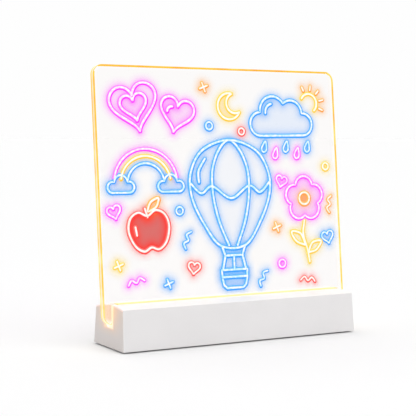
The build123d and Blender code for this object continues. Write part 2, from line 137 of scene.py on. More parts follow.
@dataclass
class Graph:
    """A node tree that is being built, with what the finishes share.

    Attributes:
        tree: the node tree.
        place: where a point is, in metres.
        shader: a material's Principled shader.
        output: a material's output.
    """

    tree: bpy.types.NodeTree
    place: Optional[Socket] = None
    shader: Optional[bpy.types.Node] = None
    output: Optional[bpy.types.Node] = None

    def add(self, kind: str, inputs: Optional[Inputs] = None, **settings: object) -> bpy.types.Node:
        """Adds a node: see add_node."""
        return add_node(self.tree, kind, inputs, **settings)

    def give(self, name: str, value: Value) -> None:
        """Sets or links one input of the shader."""
        feed(self.tree, self.shader, name, value)

    def math(self, operation: str, *values: Value, clamp: bool = False) -> Socket:
        """Works out one value from one, two or three others."""
        return self.add("Math", dict(enumerate(values)), operation=operation, use_clamp=clamp).outputs[0]

    def span(self, value: Value, low: float, high: float, start: Value = 0.0, end: Value = 1.0) -> Socket:
        """Maps a value from low and high to start and end, and holds it at both."""
        inputs = {"Value": value, "From Min": low, "From Max": high, "To Min": start, "To Max": end}
        return self.add("MapRange", inputs).outputs[0]

    def blend(self, share: Value, first: Value, second: Value, how: str = "MIX") -> Socket:
        """Mixes two colours; how is a blend type."""
        return self.add("Mix", {0: share, 6: first, 7: second}, data_type="RGBA", blend_type=how).outputs[2]

    def between(self, share: Value, first: Value, second: Value) -> Socket:
        """Mixes two numbers."""
        return self.add("Mix", {0: share, 2: first, 3: second}, data_type="FLOAT").outputs[0]

    def axes(self) -> bpy.types.Node:
        """Splits the place into X, Y and Z."""
        return self.add("SeparateXYZ", {0: self.place})

    def noise(self, size: float, detail: float, **more: float) -> Socket:
        """Adds noise.

        Args:
            size: how wide its features are, in millimetres.
            detail: how many finer layers it has.
            more: its other inputs.

        Returns:
            The noise, about 0.5 in its middle.
        """
        return self.add(
            "TexNoise", {"Vector": self.place, "Scale": per_metre(size), "Detail": detail, **more}
        ).outputs[0]

    def ramp(self, value: Socket, *stops: tuple[float, str]) -> Socket:
        """Adds a colour ramp.

        Args:
            value: what runs along the ramp.
            stops: places from 0 to 1 and their sRGB colours.

        Returns:
            The colour.
        """
        node = self.add("ValToRGB", {0: value})
        elements = node.color_ramp.elements
        while len(elements) < len(stops):
            elements.new(1.0)
        for element, (place, colour) in zip(elements, stops):
            element.position = place
            element.color = linear(colour)
        return node.outputs[0]

    def seen_directly(self) -> Socket:
        """Tells rays that show something from those that light it.

        Returns:
            1 for a ray from the camera, a mirror or clear plastic.
        """
        path = self.add("LightPath")
        first = self.math("MAXIMUM", path.outputs["Is Camera Ray"], path.outputs["Is Glossy Ray"])
        return self.math("MAXIMUM", first, path.outputs["Is Transmission Ray"])

    def shadow_ray(self) -> Socket:
        """Tells the rays that look for a lamp: 1 for them."""
        return self.add("LightPath").outputs["Is Shadow Ray"]

    def emit(self, colour: Value, spill: float) -> None:
        """Makes the shader glow.

        Args:
            colour: the colour of the light.
            spill: how much of it reaches other things.
        """
        self.give("Emission Color", colour)
        self.give("Emission Strength", self.span(self.seen_directly(), 0.0, 1.0, spill))


@dataclass(frozen=True)
class Finish:
    """A plain finish: one colour with a slow change of tone, and a fine grain.

    Attributes:
        name: what the material is and how its surface was made.
        colour: its colour.
        shade: a second tone of that colour, in slow patches.
        roughness: how matt it is.
        grain: how wide the grain's features are, in millimetres.
        relief: how high the grain stands, in millimetres.
        patch: how wide the patches of tone are, in millimetres.
        metallic: 1 for a metal.
        ior: left as it is for a metal.
        spread: how much the roughness varies.
    """

    name: str
    colour: str
    shade: str
    roughness: float = 0.45
    grain: float = 0.4
    relief: float = 0.01
    patch: float = 30.0
    metallic: float = 0.0
    ior: float = 1.5
    spread: float = 0.08

    def build(self) -> bpy.types.Material:
        """Builds the material, or finds it if it is there already.

        Returns:
            The material.
        """
        found = bpy.data.materials.get(self.name)
        if found is not None:
            return found
        material = bpy.data.materials.new(self.name)
        material.use_nodes = True
        tree = material.node_tree
        tree.nodes.clear()
        place = add_node(tree, "TexCoord").outputs["Object"]
        inputs = {"Roughness": self.roughness, "Metallic": self.metallic, "IOR": self.ior}
        shader = add_node(tree, "BsdfPrincipled", inputs)
        output = add_node(tree, "OutputMaterial", {"Surface": shader.outputs[0]})
        self.dress(Graph(tree, place, shader, output))
        return material

    def dress(self, g: Graph) -> None:
        """Adds the tone, the roughness and the grain.

        Args:
            g: the material's nodes.
        """
        slow = g.noise(self.patch, 3.0)
        g.give("Base Color", g.ramp(slow, *zip(TONE_STOPS, (self.shade, self.colour))))
        low = max(self.roughness - self.spread, SMOOTHEST)
        g.give("Roughness", g.span(slow, *SHINE_SPAN, low, self.roughness + self.spread))
        self.texture(g)

    def texture(self, g: Graph) -> None:
        """Adds the grain.

        Args:
            g: the material's nodes.
        """
        fine = g.noise(self.grain, 2.0)
        inputs = {"Strength": GRAIN_STRENGTH, "Distance": self.relief * MM, "Height": fine}
        g.give("Normal", g.add("Bump", inputs).outputs[0])


@dataclass(frozen=True)
class SlotGlowPaintedPlastic(Finish):
    """Moulded plastic round the slot, with painted light: the light that leaks out at the slot's ends and
    warms the end faces is painted as a glow.

    Attributes:
        slot_half: half the slot's width.
        slot_floor: the height of its floor.
        end: how far out the base's ends are at their lower edge.
        draft: how far they lean in for each unit of height.
        edge: how far in from an end its face's finish begins.
        edge_soft: over what width it begins.
        skin: how far below the crown's surface it is full.
        crown_front: the Y of the crown's front edge; the rear one is as far behind.
        crown_fall: how much lower the crown's rear edge is.
        crown_rise: how far the crown bulges above a straight line.
        painted_edge_highlight: the colour of the highlight painted along the upper edge of an end face.
        edge_strength: how bright that is.
        edge_full: how far below the crown it is still full.
        edge_end: how far below the crown it ends.
        foot: the height where the warmth begins.
        crown: the height where it is strongest.
        reach: how far it carries from the slot.
        line: how wide the painted bright line along the slot's edge is.
        warm: the tone that the painted glow gives the plastic.
        light: its colour.
        strength: how bright it is beside the slot.
        line_strength: how bright the line along the slot's edge is.
        painted_end_shade: painted shade: the darker tone of the end faces away from the slot.
        painted_crown_light: the colour of the light painted on the crown, as if the lit lip threw it there.
        painted_crown_strength: how bright that is.
        crown_edge: the height of the crown's front edge.
        crown_fade: below what height the crown gets none.
    """

    slot_half: float = 8.5 * MM
    slot_floor: float = 18.3 * MM
    end: float = 120.0 * MM
    draft: float = 0.0256
    edge: float = 0.1 * MM
    edge_soft: float = 0.3 * MM
    skin: float = 0.15 * MM
    crown_front: float = -26.8 * MM
    crown_fall: float = 2.5 * MM
    crown_rise: float = 2.8 * MM
    painted_edge_highlight: str = "#FFAFA4"
    edge_strength: float = 0.36
    edge_full: float = 1.0 * MM
    edge_end: float = 1.3 * MM
    foot: float = 10.0 * MM
    crown: float = 36.0 * MM
    reach: float = 11.0 * MM
    line: float = 0.6 * MM
    warm: str = "#F7EBDC"
    light: str = "#FFA400"
    strength: float = 0.4
    line_strength: float = 0.4
    painted_end_shade: str = "#F9F4F1"
    painted_crown_light: str = "#FFF8E8"
    painted_crown_strength: float = 0.14
    crown_edge: float = 36.5 * MM
    crown_fade: float = 36.2 * MM

    def dress(self, g: Graph) -> None:
        """Paints light and shade: a warm glow that fades with the distance from the slot and towards the
        floor, a highlight along the end faces' upper edges, light on the crown and shade on the end faces.

        Args:
            g: the material's nodes.
        """
        super().dress(g)
        x, y, z = g.axes().outputs
        across = g.math("SUBTRACT", g.math("ABSOLUTE", y), self.slot_half, clamp=True)
        under = g.math("SUBTRACT", self.slot_floor, z, clamp=True)
        offset = g.add("CombineXYZ", {"X": across, "Y": under}).outputs[0]
        away = g.add("VectorMath", {0: offset}, operation="LENGTH").outputs["Value"]
        flush = g.math("MULTIPLY_ADD", z, self.draft, g.math("ABSOLUTE", x))
        out = g.span(flush, self.end - self.edge - self.edge_soft, self.end - self.edge)
        below = self.below_crown(g, y, z)
        on_end = g.math("MULTIPLY", out, g.span(below, 0.0, self.skin))
        line = g.math("MULTIPLY", on_end, g.span(below, self.edge_end, self.edge_full))
        fades = []
        for reach in (self.reach, self.line):
            fade = g.math("EXPONENT", g.math("MULTIPLY", away, -1 / reach))
            fades.append(g.math("MULTIPLY", fade, on_end))
        # Painted glow: near the slot's ends the plastic is tinted warm and emits light.
        wide = g.math("MULTIPLY", fades[0], g.span(z, self.foot, self.crown))
        tone = g.shader.inputs["Base Color"].links[0].from_socket
        warmed = g.blend(wide, tone, linear(self.warm), "MULTIPLY")
        # Painted shade: the end faces are darkened.
        g.give("Base Color", g.blend(on_end, warmed, linear(self.painted_end_shade), "MULTIPLY"))
        light = g.blend(on_end, linear(self.painted_crown_light), linear(self.light))
        # Painted highlight along the upper edge of each end face.
        g.give("Emission Color", g.blend(line, light, linear(self.painted_edge_highlight)))
        glow = g.math("MULTIPLY", wide, self.strength)
        both = g.math("MULTIPLY_ADD", fades[1], self.line_strength, glow)
        on_face = g.between(line, both, g.math("MAXIMUM", both, self.edge_strength))
        # Painted light on the crown, as if thrown by the lit lip.
        on_crown = g.span(z, self.crown_fade, self.crown_edge, 0.0, self.painted_crown_strength)
        g.give("Emission Strength", g.between(on_end, on_crown, on_face))

    def below_crown(self, g: Graph, y: Socket, z: Socket) -> Socket:
        """Measures how far below the crown's surface a place is.

        Args:
            g: the material's nodes.
            y: the place's Y.
            z: its height.

        Returns:
            The distance, in metres.
        """
        share = g.math("DIVIDE", y, self.crown_front)
        middle = self.crown_edge - self.crown_fall / 2 + self.crown_rise
        bulge = g.math("MULTIPLY_ADD", g.math("POWER", share, 2.0), -self.crown_rise, middle)
        top = g.math("MULTIPLY_ADD", share, self.crown_fall / 2, bulge)
        return g.math("SUBTRACT", top, z)


@dataclass(frozen=True)
class PanelFrame:
    """The panel's own frame: X along its lower edge, Y through it from the front face, Z up it.

    Attributes:
        lean: how far it leans back, in radians.
        origin: the middle of its front lower edge.
        width: its width.
        height: its height along its lean.
        thickness: its thickness.
        chamfer: how much its edges are broken.
        corner: the radius of its corners.
    """

    lean: float
    origin: Vector
    width: float
    height: float
    thickness: float
    chamfer: float
    corner: float

    @classmethod
    def from_cad(cls, chamfer: float = 0.5 * MM, corner: float = 9 * MM) -> "PanelFrame":
        """Works the frame out from the panel's box and the way that it lifts.

        Args:
            chamfer: how much its edges are broken.
            corner: the radius of its corners.

        Returns:
            The frame.
        """
        axis = next(joint["axis"] for joint in frame["joints"] if joint["name"] == "panel_lift")
        lean = math.atan2(axis[1], axis[2])
        low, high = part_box("acrylic_panel")
        rise, run = math.sin(lean), math.cos(lean)
        deep = high.y - low.y + 2 * chamfer * rise
        tall = high.z - low.z + 2 * chamfer * rise
        thickness = (deep * run - tall * rise) / math.cos(2 * lean)
        height = (tall * run - deep * rise) / math.cos(2 * lean)
        origin = Vector((0, low.y - chamfer * rise, low.z + (thickness - chamfer) * rise))
        return cls(lean, origin, high.x - low.x, height, thickness, chamfer, corner)

    def matrix(self) -> Matrix:
        """The panel's frame as a matrix."""
        return Matrix.Translation(self.origin) @ Matrix.Rotation(-self.lean, 4, "X")

    def along(self, g: Graph, axis: Vector) -> Socket:
        """Measures a place on the panel from its origin, along a direction, in metres."""
        local = g.add("VectorMath", {0: g.place, 1: self.origin}, operation="SUBTRACT").outputs[0]
        return g.add("VectorMath", {0: local, 1: axis}, operation="DOT_PRODUCT").outputs["Value"]

    def depth(self, g: Graph) -> Socket:
        """How far behind the panel's front face a place is."""
        return self.along(g, Vector((0, math.cos(self.lean), -math.sin(self.lean))))

    def climb(self, g: Graph) -> Socket:
        """How far up the panel a place is."""
        return self.along(g, Vector((0, math.sin(self.lean), math.cos(self.lean))))


@dataclass(frozen=True)
class CastAcrylic(Finish):
    """Polished clear sheet: a mirror gloss, a faint grey tint, and fine wipe marks in the gloss.

    Attributes:
        marks: how wide the wipe marks are, in millimetres.
        mark_span: between what values of their noise the gloss dulls.
    """

    marks: float = 4.0
    mark_span: tuple = (0.45, 0.8)

    def dress(self, g: Graph) -> None:
        """Makes the sheet clear, and lets the lamps reach what stands behind it.

        Args:
            g: the material's nodes.
        """
        g.give("Base Color", linear(self.colour))
        g.give("Transmission Weight", 1.0)
        wipe = g.noise(self.marks, 4.0)
        dull = self.roughness + self.spread
        g.give("Roughness", g.span(wipe, *self.mark_span, self.roughness, dull))
        clear = g.add("BsdfTransparent", {"Color": linear(self.shade)}).outputs[0]
        mix = g.add("MixShader", {0: g.shadow_ray(), 1: g.shader.outputs[0], 2: clear})
        feed(g.tree, g.output, "Surface", mix.outputs[0])


@dataclass(frozen=True)
class PaintedGlowRim(Finish):
    """The sheet's cut edge, where its light comes out, painted as a glow: pale, and amber along its front
    and rear arris.

    Seen through the sheet it looks white, with amber along its front, and all along the top.

    Attributes:
        panel: the panel's frame.
        front: how far back the amber reaches from the front arris.
        rear: how far forward it reaches from the rear arris.
        rear_share: how strong it is there.
        front_share: how strong it is along the front.
        inside: how far back it reaches where it is seen through the sheet.
        top_start: how far below the top it begins to fill the whole rim.
        top_full: how far below the top it does.
        spill: how much of the light reaches other things.
        soft: over what width it fades.
        spot: how long the patches of yellow and orange are, in millimetres.
        gloss: how much it mirrors.
        body: what shows of the rim without its light.
        corner: how much yellower it is round the corners.
        corner_start: how far from an edge that begins, as a share of the corner's radius.
        corner_full: how far from an edge it is full.
        climb: how much more orange it is at the foot and at the top.
        pale_stops: where its pale middle changes from the colour to the shade.
        stops: the amber's colours, from the lower edge's yellow to the upper orange.
    """

    panel: Optional[PanelFrame] = None
    front: float = 0.4 * MM
    rear: float = 2.3 * MM
    rear_share: float = 0.96
    front_share: float = 0.88
    inside: float = 5.3 * MM
    top_start: float = 3 * MM
    top_full: float = 1 * MM
    spill: float = 0.5
    soft: float = 0.4 * MM
    spot: float = 16.0
    gloss: float = 0.08
    body: str = "#1A130A"
    corner: float = 0.24
    corner_start: float = 1.6
    corner_full: float = 0.6
    climb: tuple = (-0.15, 0.08)
    pale_stops: tuple = (0.34, 0.60)
    stops: tuple = ((0.22, "#FFEC8C"), (0.42, "#FFD84A"), (0.62, "#FFC236"), (0.82, "#FFA626"))

    def dress(self, g: Graph) -> None:
        """Adds the painted glow, brightest and yellowest near the slot.

        Args:
            g: the material's nodes.
        """
        patches = g.noise(self.spot, 2.0, Roughness=0.6)
        height, depth = self.panel.climb(g), self.panel.depth(g)
        warmth = g.math("ADD", patches, g.span(height, 0.0, self.panel.height, *self.climb))
        warmth = g.math("MULTIPLY_ADD", self.near_corner(g, height), -self.corner, warmth)
        amber = g.ramp(warmth, *self.stops)
        pale = g.ramp(warmth, *zip(self.pale_stops, (self.colour, self.shade)))
        ahead = g.span(depth, self.front + self.soft, self.front, 0.0, self.front_share)
        start = self.panel.thickness - self.rear
        behind = g.span(depth, start - self.soft, start, 0.0, self.rear_share)
        outside = g.blend(g.math("MAXIMUM", ahead, behind), pale, amber)
        top = self.panel.height
        whole = 2 * self.panel.thickness
        limit = g.span(height, top - self.top_start, top - self.top_full, self.inside, whole)
        within = g.span(g.math("SUBTRACT", depth, limit), self.soft, 0.0)
        through = g.blend(within, (1, 1, 1, 1), amber)
        facing = g.add("NewGeometry").outputs["Backfacing"]
        g.give("Base Color", linear(self.body))
        g.give("Specular IOR Level", self.gloss)
        # Painted glow: the rim emits its own light.
        g.emit(g.blend(facing, outside, through), self.spill)

    def near_corner(self, g: Graph, height: Socket) -> Socket:
        """Tells how near a place on the rim is to a corner of the sheet.

        Args:
            g: the material's nodes.
            height: how high up the sheet the place is.

        Returns:
            1 in a corner, falling to 0 where the straight edges begin.
        """
        centred = g.math("SUBTRACT", height, self.panel.height / 2)
        shares = []
        for place, half in ((g.axes().outputs["X"], self.panel.width / 2), (centred, self.panel.height / 2)):
            start = half - self.corner_start * self.panel.corner
            full = half - self.corner_full * self.panel.corner
            shares.append(g.span(g.math("ABSOLUTE", place), start, full))
        return g.math("MULTIPLY", *shares)


@dataclass(frozen=True)
class MilkyChannelPaintedGlow(Finish):
    """Milky polycarbonate whose light from the lamps below is painted as a glow: white hot at the web, lemon
    at the lip, peach at the back.

    Attributes:
        low: the height of the channel's lower side.
        high: the height of its lip.
        half: half its width.
        end: how far out it ends.
        web_height: how high its web is.
        lip_height: how high its lip stands above the crown.
        lip_line: how much of that is its bright line.
        lip_step: over what share of the channel's height the line begins.
        front_share: how far up the front rail its own colour is.
        lip: the colour of the painted glow along the lip.
        tip: the colour of that glow at the lip's ends.
        tip_span: how far from an end that begins and is full.
        mouth: the tint of the painted glow on the front rail's end faces.
        mouth_span: how far from an end that begins and is full.
        back: the colour of the painted glow on the rear rail near its ends.
        back_span: how far from an end that begins and is full.
        back_share: how far up the rear rail that is full.
        back_fade: how far below the crown it begins to fade and has gone, as shares.
        rail_share: over what share of its half width the front turns into the rear.
        gloss: how much it mirrors.
        body: what shows of the plastic without its light.
    """

    low: float = 18.3 * MM
    high: float = 38.5 * MM
    half: float = 8.4 * MM
    end: float = 119.3 * MM
    web_height: float = 3.2 * MM
    lip_height: float = 1.2 * MM
    lip_line: float = 0.42 * MM
    lip_step: float = 0.006
    front_share: float = 0.5
    lip: str = "#FFEB8C"
    tip: str = "#FFCE4C"
    tip_span: tuple = (5.4 * MM, 4.4 * MM)
    mouth: str = "#FFF6DC"
    mouth_span: tuple = (2 * MM, 0.5 * MM)
    back: str = "#F7D3B6"
    back_span: tuple = (10 * MM, 3 * MM)
    back_share: float = 0.35
    back_fade: tuple = (0.06, 0.02)
    rail_share: float = 0.25
    gloss: float = 0.1
    body: str = "#3A342C"

    def dress(self, g: Graph) -> None:
        """Adds the painted glow inside the plastic.

        Args:
            g: the material's nodes.
        """
        self.texture(g)
        x, y, z = g.axes().outputs
        rise = g.span(z, self.low, self.high)
        tall = self.high - self.low
        web, crown, line = self.web_height / tall, 1 - self.lip_height / tall, 1 - self.lip_line / tall
        lip_start = line - self.lip_step
        front = g.ramp(
            rise,
            (0.0, "#FFFFFF"),
            (web, "#FFFFF4"),
            (self.front_share, self.colour),
            (crown, "#FFFCF2"),
            (lip_start, "#FFFCF2"),
            (line, self.lip),
        )
        rear = g.ramp(
            rise,
            (0.0, "#FFFFFF"),
            (web, "#FFF6E6"),
            (self.back_share, self.back),
            (crown - self.back_fade[0], self.back),
            (crown - self.back_fade[1], "#FFF4EA"),
        )
        far = g.math("ABSOLUTE", x)
        back, tip, mouth = (
            g.span(far, self.end - start, self.end - full)
            for start, full in (self.back_span, self.tip_span, self.mouth_span)
        )
        rear = g.blend(back, linear("#FFFDF8"), rear)
        front = g.blend(g.math("MULTIPLY", tip, g.span(rise, lip_start, line)), front, linear(self.tip))
        front = g.blend(mouth, front, linear(self.mouth), "MULTIPLY")
        across = g.span(y, -self.rail_share * self.half, self.rail_share * self.half)
        g.give("Base Color", linear(self.body))
        g.give("Specular IOR Level", self.gloss)
        # Painted glow: the channel emits its own light.
        g.give("Emission Color", g.blend(across, front, rear))
        g.give("Emission Strength", 1.0)


@dataclass(frozen=True)
class InkColours:
    """What one fluorescent ink shows on the lit sheet.

    Attributes:
        deep: the deep colour painted as shade on a line's lower and right side, and at the edge of a fill.
        pale: the paler colour of its upper and left side, painted as if light fell there.
        heart: the tint in its painted white glow.
        halo: the light round it.
        fill: the tint inside a closed outline.
    """

    deep: str
    pale: str
    heart: str
    halo: str
    fill: str


class Ink(Enum):
    """The inks of the drawing."""

    BLUE = InkColours("#0098FF", "#40AEFF", "#BFEFFE", "#00A6FF", "#00A8FF")
    MAGENTA = InkColours("#FF14FF", "#FF76FF", "#FFD4FC", "#FF2AFF", "#FF32F8")
    RED = InkColours("#FF1E14", "#FF6C64", "#FFF2E6", "#FF4A40", "#DC6A66")
    YELLOW = InkColours("#FFC810", "#FFDE48", "#FFFBE0", "#FFDE48", "#FFDC50")
    ORANGE = InkColours("#FF9410", "#FFBC4C", "#FFF4D8", "#FFB23C", "#FFA62E")


@dataclass(frozen=True)
class NeonInk(Finish):
    """A thick line of marker ink that the sheet lights from below, painted as glow and shade: white hot,
    with coloured sides.

    Attributes:
        ink: its colours.
        core: where the painted white glow of the middle begins, as a share of the line's height.
        soft: over what share it begins.
        shift: how far the painted white middle is moved to the upper left, as a share.
        streak: how long the tinted streaks in it are, in millimetres.
        streak_stops: where in their noise the white turns into the tint.
        border_half: how far a side has to face for its full colour.
        spill: how much of its light reaches other things.
        shadow: how much of a lamp's light it stops.
    """

    ink: Ink = Ink.BLUE
    core: float = 0.9
    soft: float = 0.03
    shift: float = 0.126
    streak: float = 2.6
    streak_stops: tuple = (0.42, 0.60)
    border_half: float = 0.5
    spill: float = 0.3
    shadow: float = 0.25

    def dress(self, g: Graph) -> None:
        """Adds the painted glow and shade: the streaked white middle, and sides painted deeper below and to
        the right.

        Args:
            g: the material's nodes.
        """
        colours = self.ink.value
        crest, side = (g.add("Attribute", attribute_name=name).outputs["Fac"] for name in ("crest", "side"))
        facing = g.span(side, -self.border_half, self.border_half)
        border = g.ramp(facing, (0.0, colours.pale), (1.0, colours.deep))
        streaks = g.noise(self.streak, 1.0)
        middle = g.ramp(streaks, *zip(self.streak_stops, (self.colour, colours.heart)))
        moved = g.math("MULTIPLY_ADD", side, -self.shift, crest)
        hot = g.span(moved, self.core - self.soft, self.core + self.soft)
        g.give("Base Color", linear(self.shade))
        # Painted glow and shade: a white core moved to the upper left, deeper sides below and to the right.
        g.emit(g.blend(hot, border, middle), self.spill)
        g.give("Alpha", g.span(g.shadow_ray(), 0.0, 1.0, 1.0, self.shadow))


@dataclass(frozen=True)
class InkGlow(Finish):
    """The light that the ink throws into the sheet around it: a film that thins out with distance.

    Attributes:
        spill: how much of its light reaches other things.
    """

    spill: float = 0.3

    def dress(self, g: Graph) -> None:
        """Takes the glow's colour and thickness from the film's own points; it casts no shadow.

        Args:
            g: the material's nodes.
        """
        glow = g.add("Attribute", attribute_name="glow")
        g.give("Base Color", linear(self.shade))
        g.give("Specular IOR Level", 0.0)
        g.emit(glow.outputs["Color"], self.spill)
        lit = g.math("SUBTRACT", 1.0, g.shadow_ray())
        g.give("Alpha", g.math("MULTIPLY", glow.outputs["Alpha"], lit))


@dataclass(frozen=True)
class PhosphorGel(Finish):
    """Silicone gel with yellow phosphor over a lit chip: a soft even light.

    Attributes:
        light: its colour.
        strength: how bright it is.
    """

    light: str = "#FFE9A8"
    strength: float = 2.0

    def dress(self, g: Graph) -> None:
        """Adds the light.

        Args:
            g: the material's nodes.
        """
        super().dress(g)
        g.give("Emission Color", linear(self.light))
        g.give("Emission Strength", self.strength)


@dataclass(frozen=True)
class SolderMask(Finish):
    """A printed board: mask over copper, with the tracks showing through as a paler tone.

    Attributes:
        track: how far apart the tracks are, in millimetres.
        run: how long a straight track is, as a multiple of that.
        gap: how wide the line between two tracks is, as a share of it.
    """

    track: float = 2.2
    run: float = 7
    gap: float = 0.16

    def dress(self, g: Graph) -> None:
        """Adds the tracks under the mask.

        Args:
            g: the material's nodes.
        """
        super().dress(g)
        inputs = {
            "Vector": g.place,
            "Scale": 1.0,
            "Brick Width": self.run * self.track * MM,
            "Row Height": self.track * MM,
            "Mortar Size": self.gap * self.track * MM,
            "Color1": linear(self.colour),
            "Color2": linear(self.shade),
            "Mortar": linear(self.shade),
        }
        g.give("Base Color", g.add("TexBrick", inputs).outputs[0])


# The finishes of the frame's other nodes. Each name says what the material is and how its surface was made.
NODE_FINISHES = {
    # Injection-moulded against a fine spark-eroded tool, which leaves a dry satin with almost no highlight.
    # Its charcoal shows only in the gap under the housing's lower edge, as a dark line.
    "bottom_cover": Finish("charcoal_abs_spark_eroded", "#202124", "#1B1C1F", 0.55, 0.5, 0.02),
    # Polished in its tool, so that the button is a little glossier than the shell round it.
    "button_cap": Finish("white_abs_polished_tool", "#EDEBEB", "#E9E7E7", 0.28, 0.8, 0.002),
    # Soft strips pressed in against the sheet: clear silicone, hazed by its own skin.
    **dict.fromkeys(
        ("front_grip_strip", "rear_grip_strip"),
        Finish("clear_silicone_extruded", "#F3EADB", "#EFE4D2", 0.4, 0.6, 0.01),
    ),
    # Die-cut rubber sheet, dull, with a faint bloom in patches.
    "rubber_feet": Finish("black_rubber_die_cut", "#1B1B1C", "#262627", 0.8, 0.3, 0.03, 5.0),
    # Bright zinc over steel wire: a cool metal with a soft, slightly cloudy gloss.
    **dict.fromkeys(
        ("cover_screws", "led_board_screws", "control_board_screws", "ballast_screws"),
        Finish("zinc_plate_over_steel", "#B9BBC0", "#A6A8AE", 0.3, 0.3, 0.003, 1.5, 1.0),
    ),
    # Hot-rolled bar, zinc plated in a barrel: duller than the screws, with larger spangles.
    "ballast_plates": Finish("barrel_zinc_over_bar_steel", "#A9ACB1", "#94979C", 0.42, 0.9, 0.02, 8.0, 1.0),
    # White epoxy mask and a green one, both squeegeed on, so that the tracks below stand out a little.
    "led_board": SolderMask("white_solder_mask", "#EFEFEA", "#DCDDD6", 0.35, 0.7, 0.004, 12.0),
    "control_board": SolderMask("green_solder_mask", "#1E5C38", "#2C7A4B", 0.3, 0.7, 0.004, 12.0),
    # Moulded white nylon cups round the lights, matt so that they scatter.
    "led_packages": Finish("white_nylon_reflector", "#F2F1EC", "#E9E7DF", 0.5, 0.3, 0.004, 3.0),
    "led_phosphor_windows": PhosphorGel("yellow_phosphor_gel", "#F4D35A", "#F0C846", 0.25, 0.3, 0.002, 2.0),
    # Drawn and nickel-plated steel: a warm grey metal with fine draw lines.
    "usb_c_shell": Finish("nickel_plate_drawn", "#C6C1B6", "#B8B3A8", 0.22, 0.2, 0.002, 2.0, 1.0),
    "usb_c_tongue": Finish("black_lcp_moulded", "#1A1A1C", "#212124", 0.5, 0.2, 0.004, 2.0),
    "switch_body": Finish("black_nylon_moulded", "#1D1D1F", "#242427", 0.5, 0.2, 0.004, 2.0),
    "switch_plunger": Finish("grey_acetal_turned", "#8F8F92", "#85858A", 0.35, 0.2, 0.003, 2.0),
    # Transfer-moulded epoxy: charcoal, with a fine sparkle of silica.
    **dict.fromkeys(
        ("control_chip", "driver_transistors"),
        Finish("black_epoxy_transfer_moulded", "#232325", "#2B2B2E", 0.6, 0.12, 0.006, 1.0),
    ),
    "chip_resistors": Finish("black_glass_over_alumina", "#17171A", "#202024", 0.2, 0.15, 0.003, 0.8),
    "filter_capacitor": Finish("aluminium_can_drawn", "#C9CACE", "#BFC0C5", 0.28, 0.25, 0.003, 2.0, 1.0),
    **dict.fromkeys(
        ("lead_header", "lead_plug"),
        Finish("ivory_nylon_moulded", "#E6DFCB", "#DDD5BF", 0.45, 0.3, 0.005, 3.0),
    ),
    "led_lead_red": Finish("red_pvc_extruded", "#C22A22", "#B4241D", 0.35, 0.4, 0.004, 6.0),
    "led_lead_black": Finish("black_pvc_extruded", "#1C1C1E", "#242426", 0.35, 0.4, 0.004, 6.0),
    "solder_joints": Finish("tin_solder_reflowed", "#C2C4C8", "#AEB0B6", 0.25, 0.5, 0.01, 1.0, 1.0),
}


def activate(piece: Optional[bpy.types.Object] = None) -> None:
    """Deselects everything, and then selects one object and makes it the active one.

    Args:
        piece: the object, where there is one.
    """
    for found in bpy.context.selected_objects:
        found.select_set(False)
    if piece is not None:
        piece.select_set(True)
        bpy.context.view_layer.objects.active = piece


def pick(piece: bpy.types.Object, kind: str, test: Callable) -> None:
    """Selects faces or edges of a piece in edit mode by a test, and nothing else.

    Args:
        piece: the piece, in edit mode.
        kind: FACE or EDGE.
        test: takes a face or an edge and says whether it is wanted.
    """
    bpy.ops.mesh.select_mode(type=kind)
    bpy.ops.mesh.select_all(action="DESELECT")
    mesh = bmesh.from_edit_mesh(piece.data)
    mesh.normal_update()
    for part in mesh.faces if kind == "FACE" else mesh.edges:
        if test(part):
            part.select_set(True)
    bmesh.update_edit_mesh(piece.data)


def read_points(piece: bpy.types.Object, name: str) -> np.ndarray:
    """Reads the place or the normal of each of a piece's points.

    Args:
        piece: the piece.
        name: co for the places, or normal.

    Returns:
        The values, one point to a row.
    """
    values = np.zeros(len(piece.data.vertices) * 3, np.float32)
    piece.data.vertices.foreach_get(name, values)
    return values.reshape(-1, 3)


def settle(piece: bpy.types.Object, place: Matrix) -> None:
    """Puts a piece in its place and leaves its object at the origin.

    Args:
        piece: a piece modelled about the origin.
        place: where it goes.
    """
    piece.matrix_world = place
    activate(piece)
    bpy.ops.object.transform_apply(location=True, rotation=True, scale=True)


class Skin(IntEnum):
    """The finishes of the sheet, by their place in its list."""

    CLEAR = 0
    BAND = 1
    RIM = 2
    ARRIS = 3


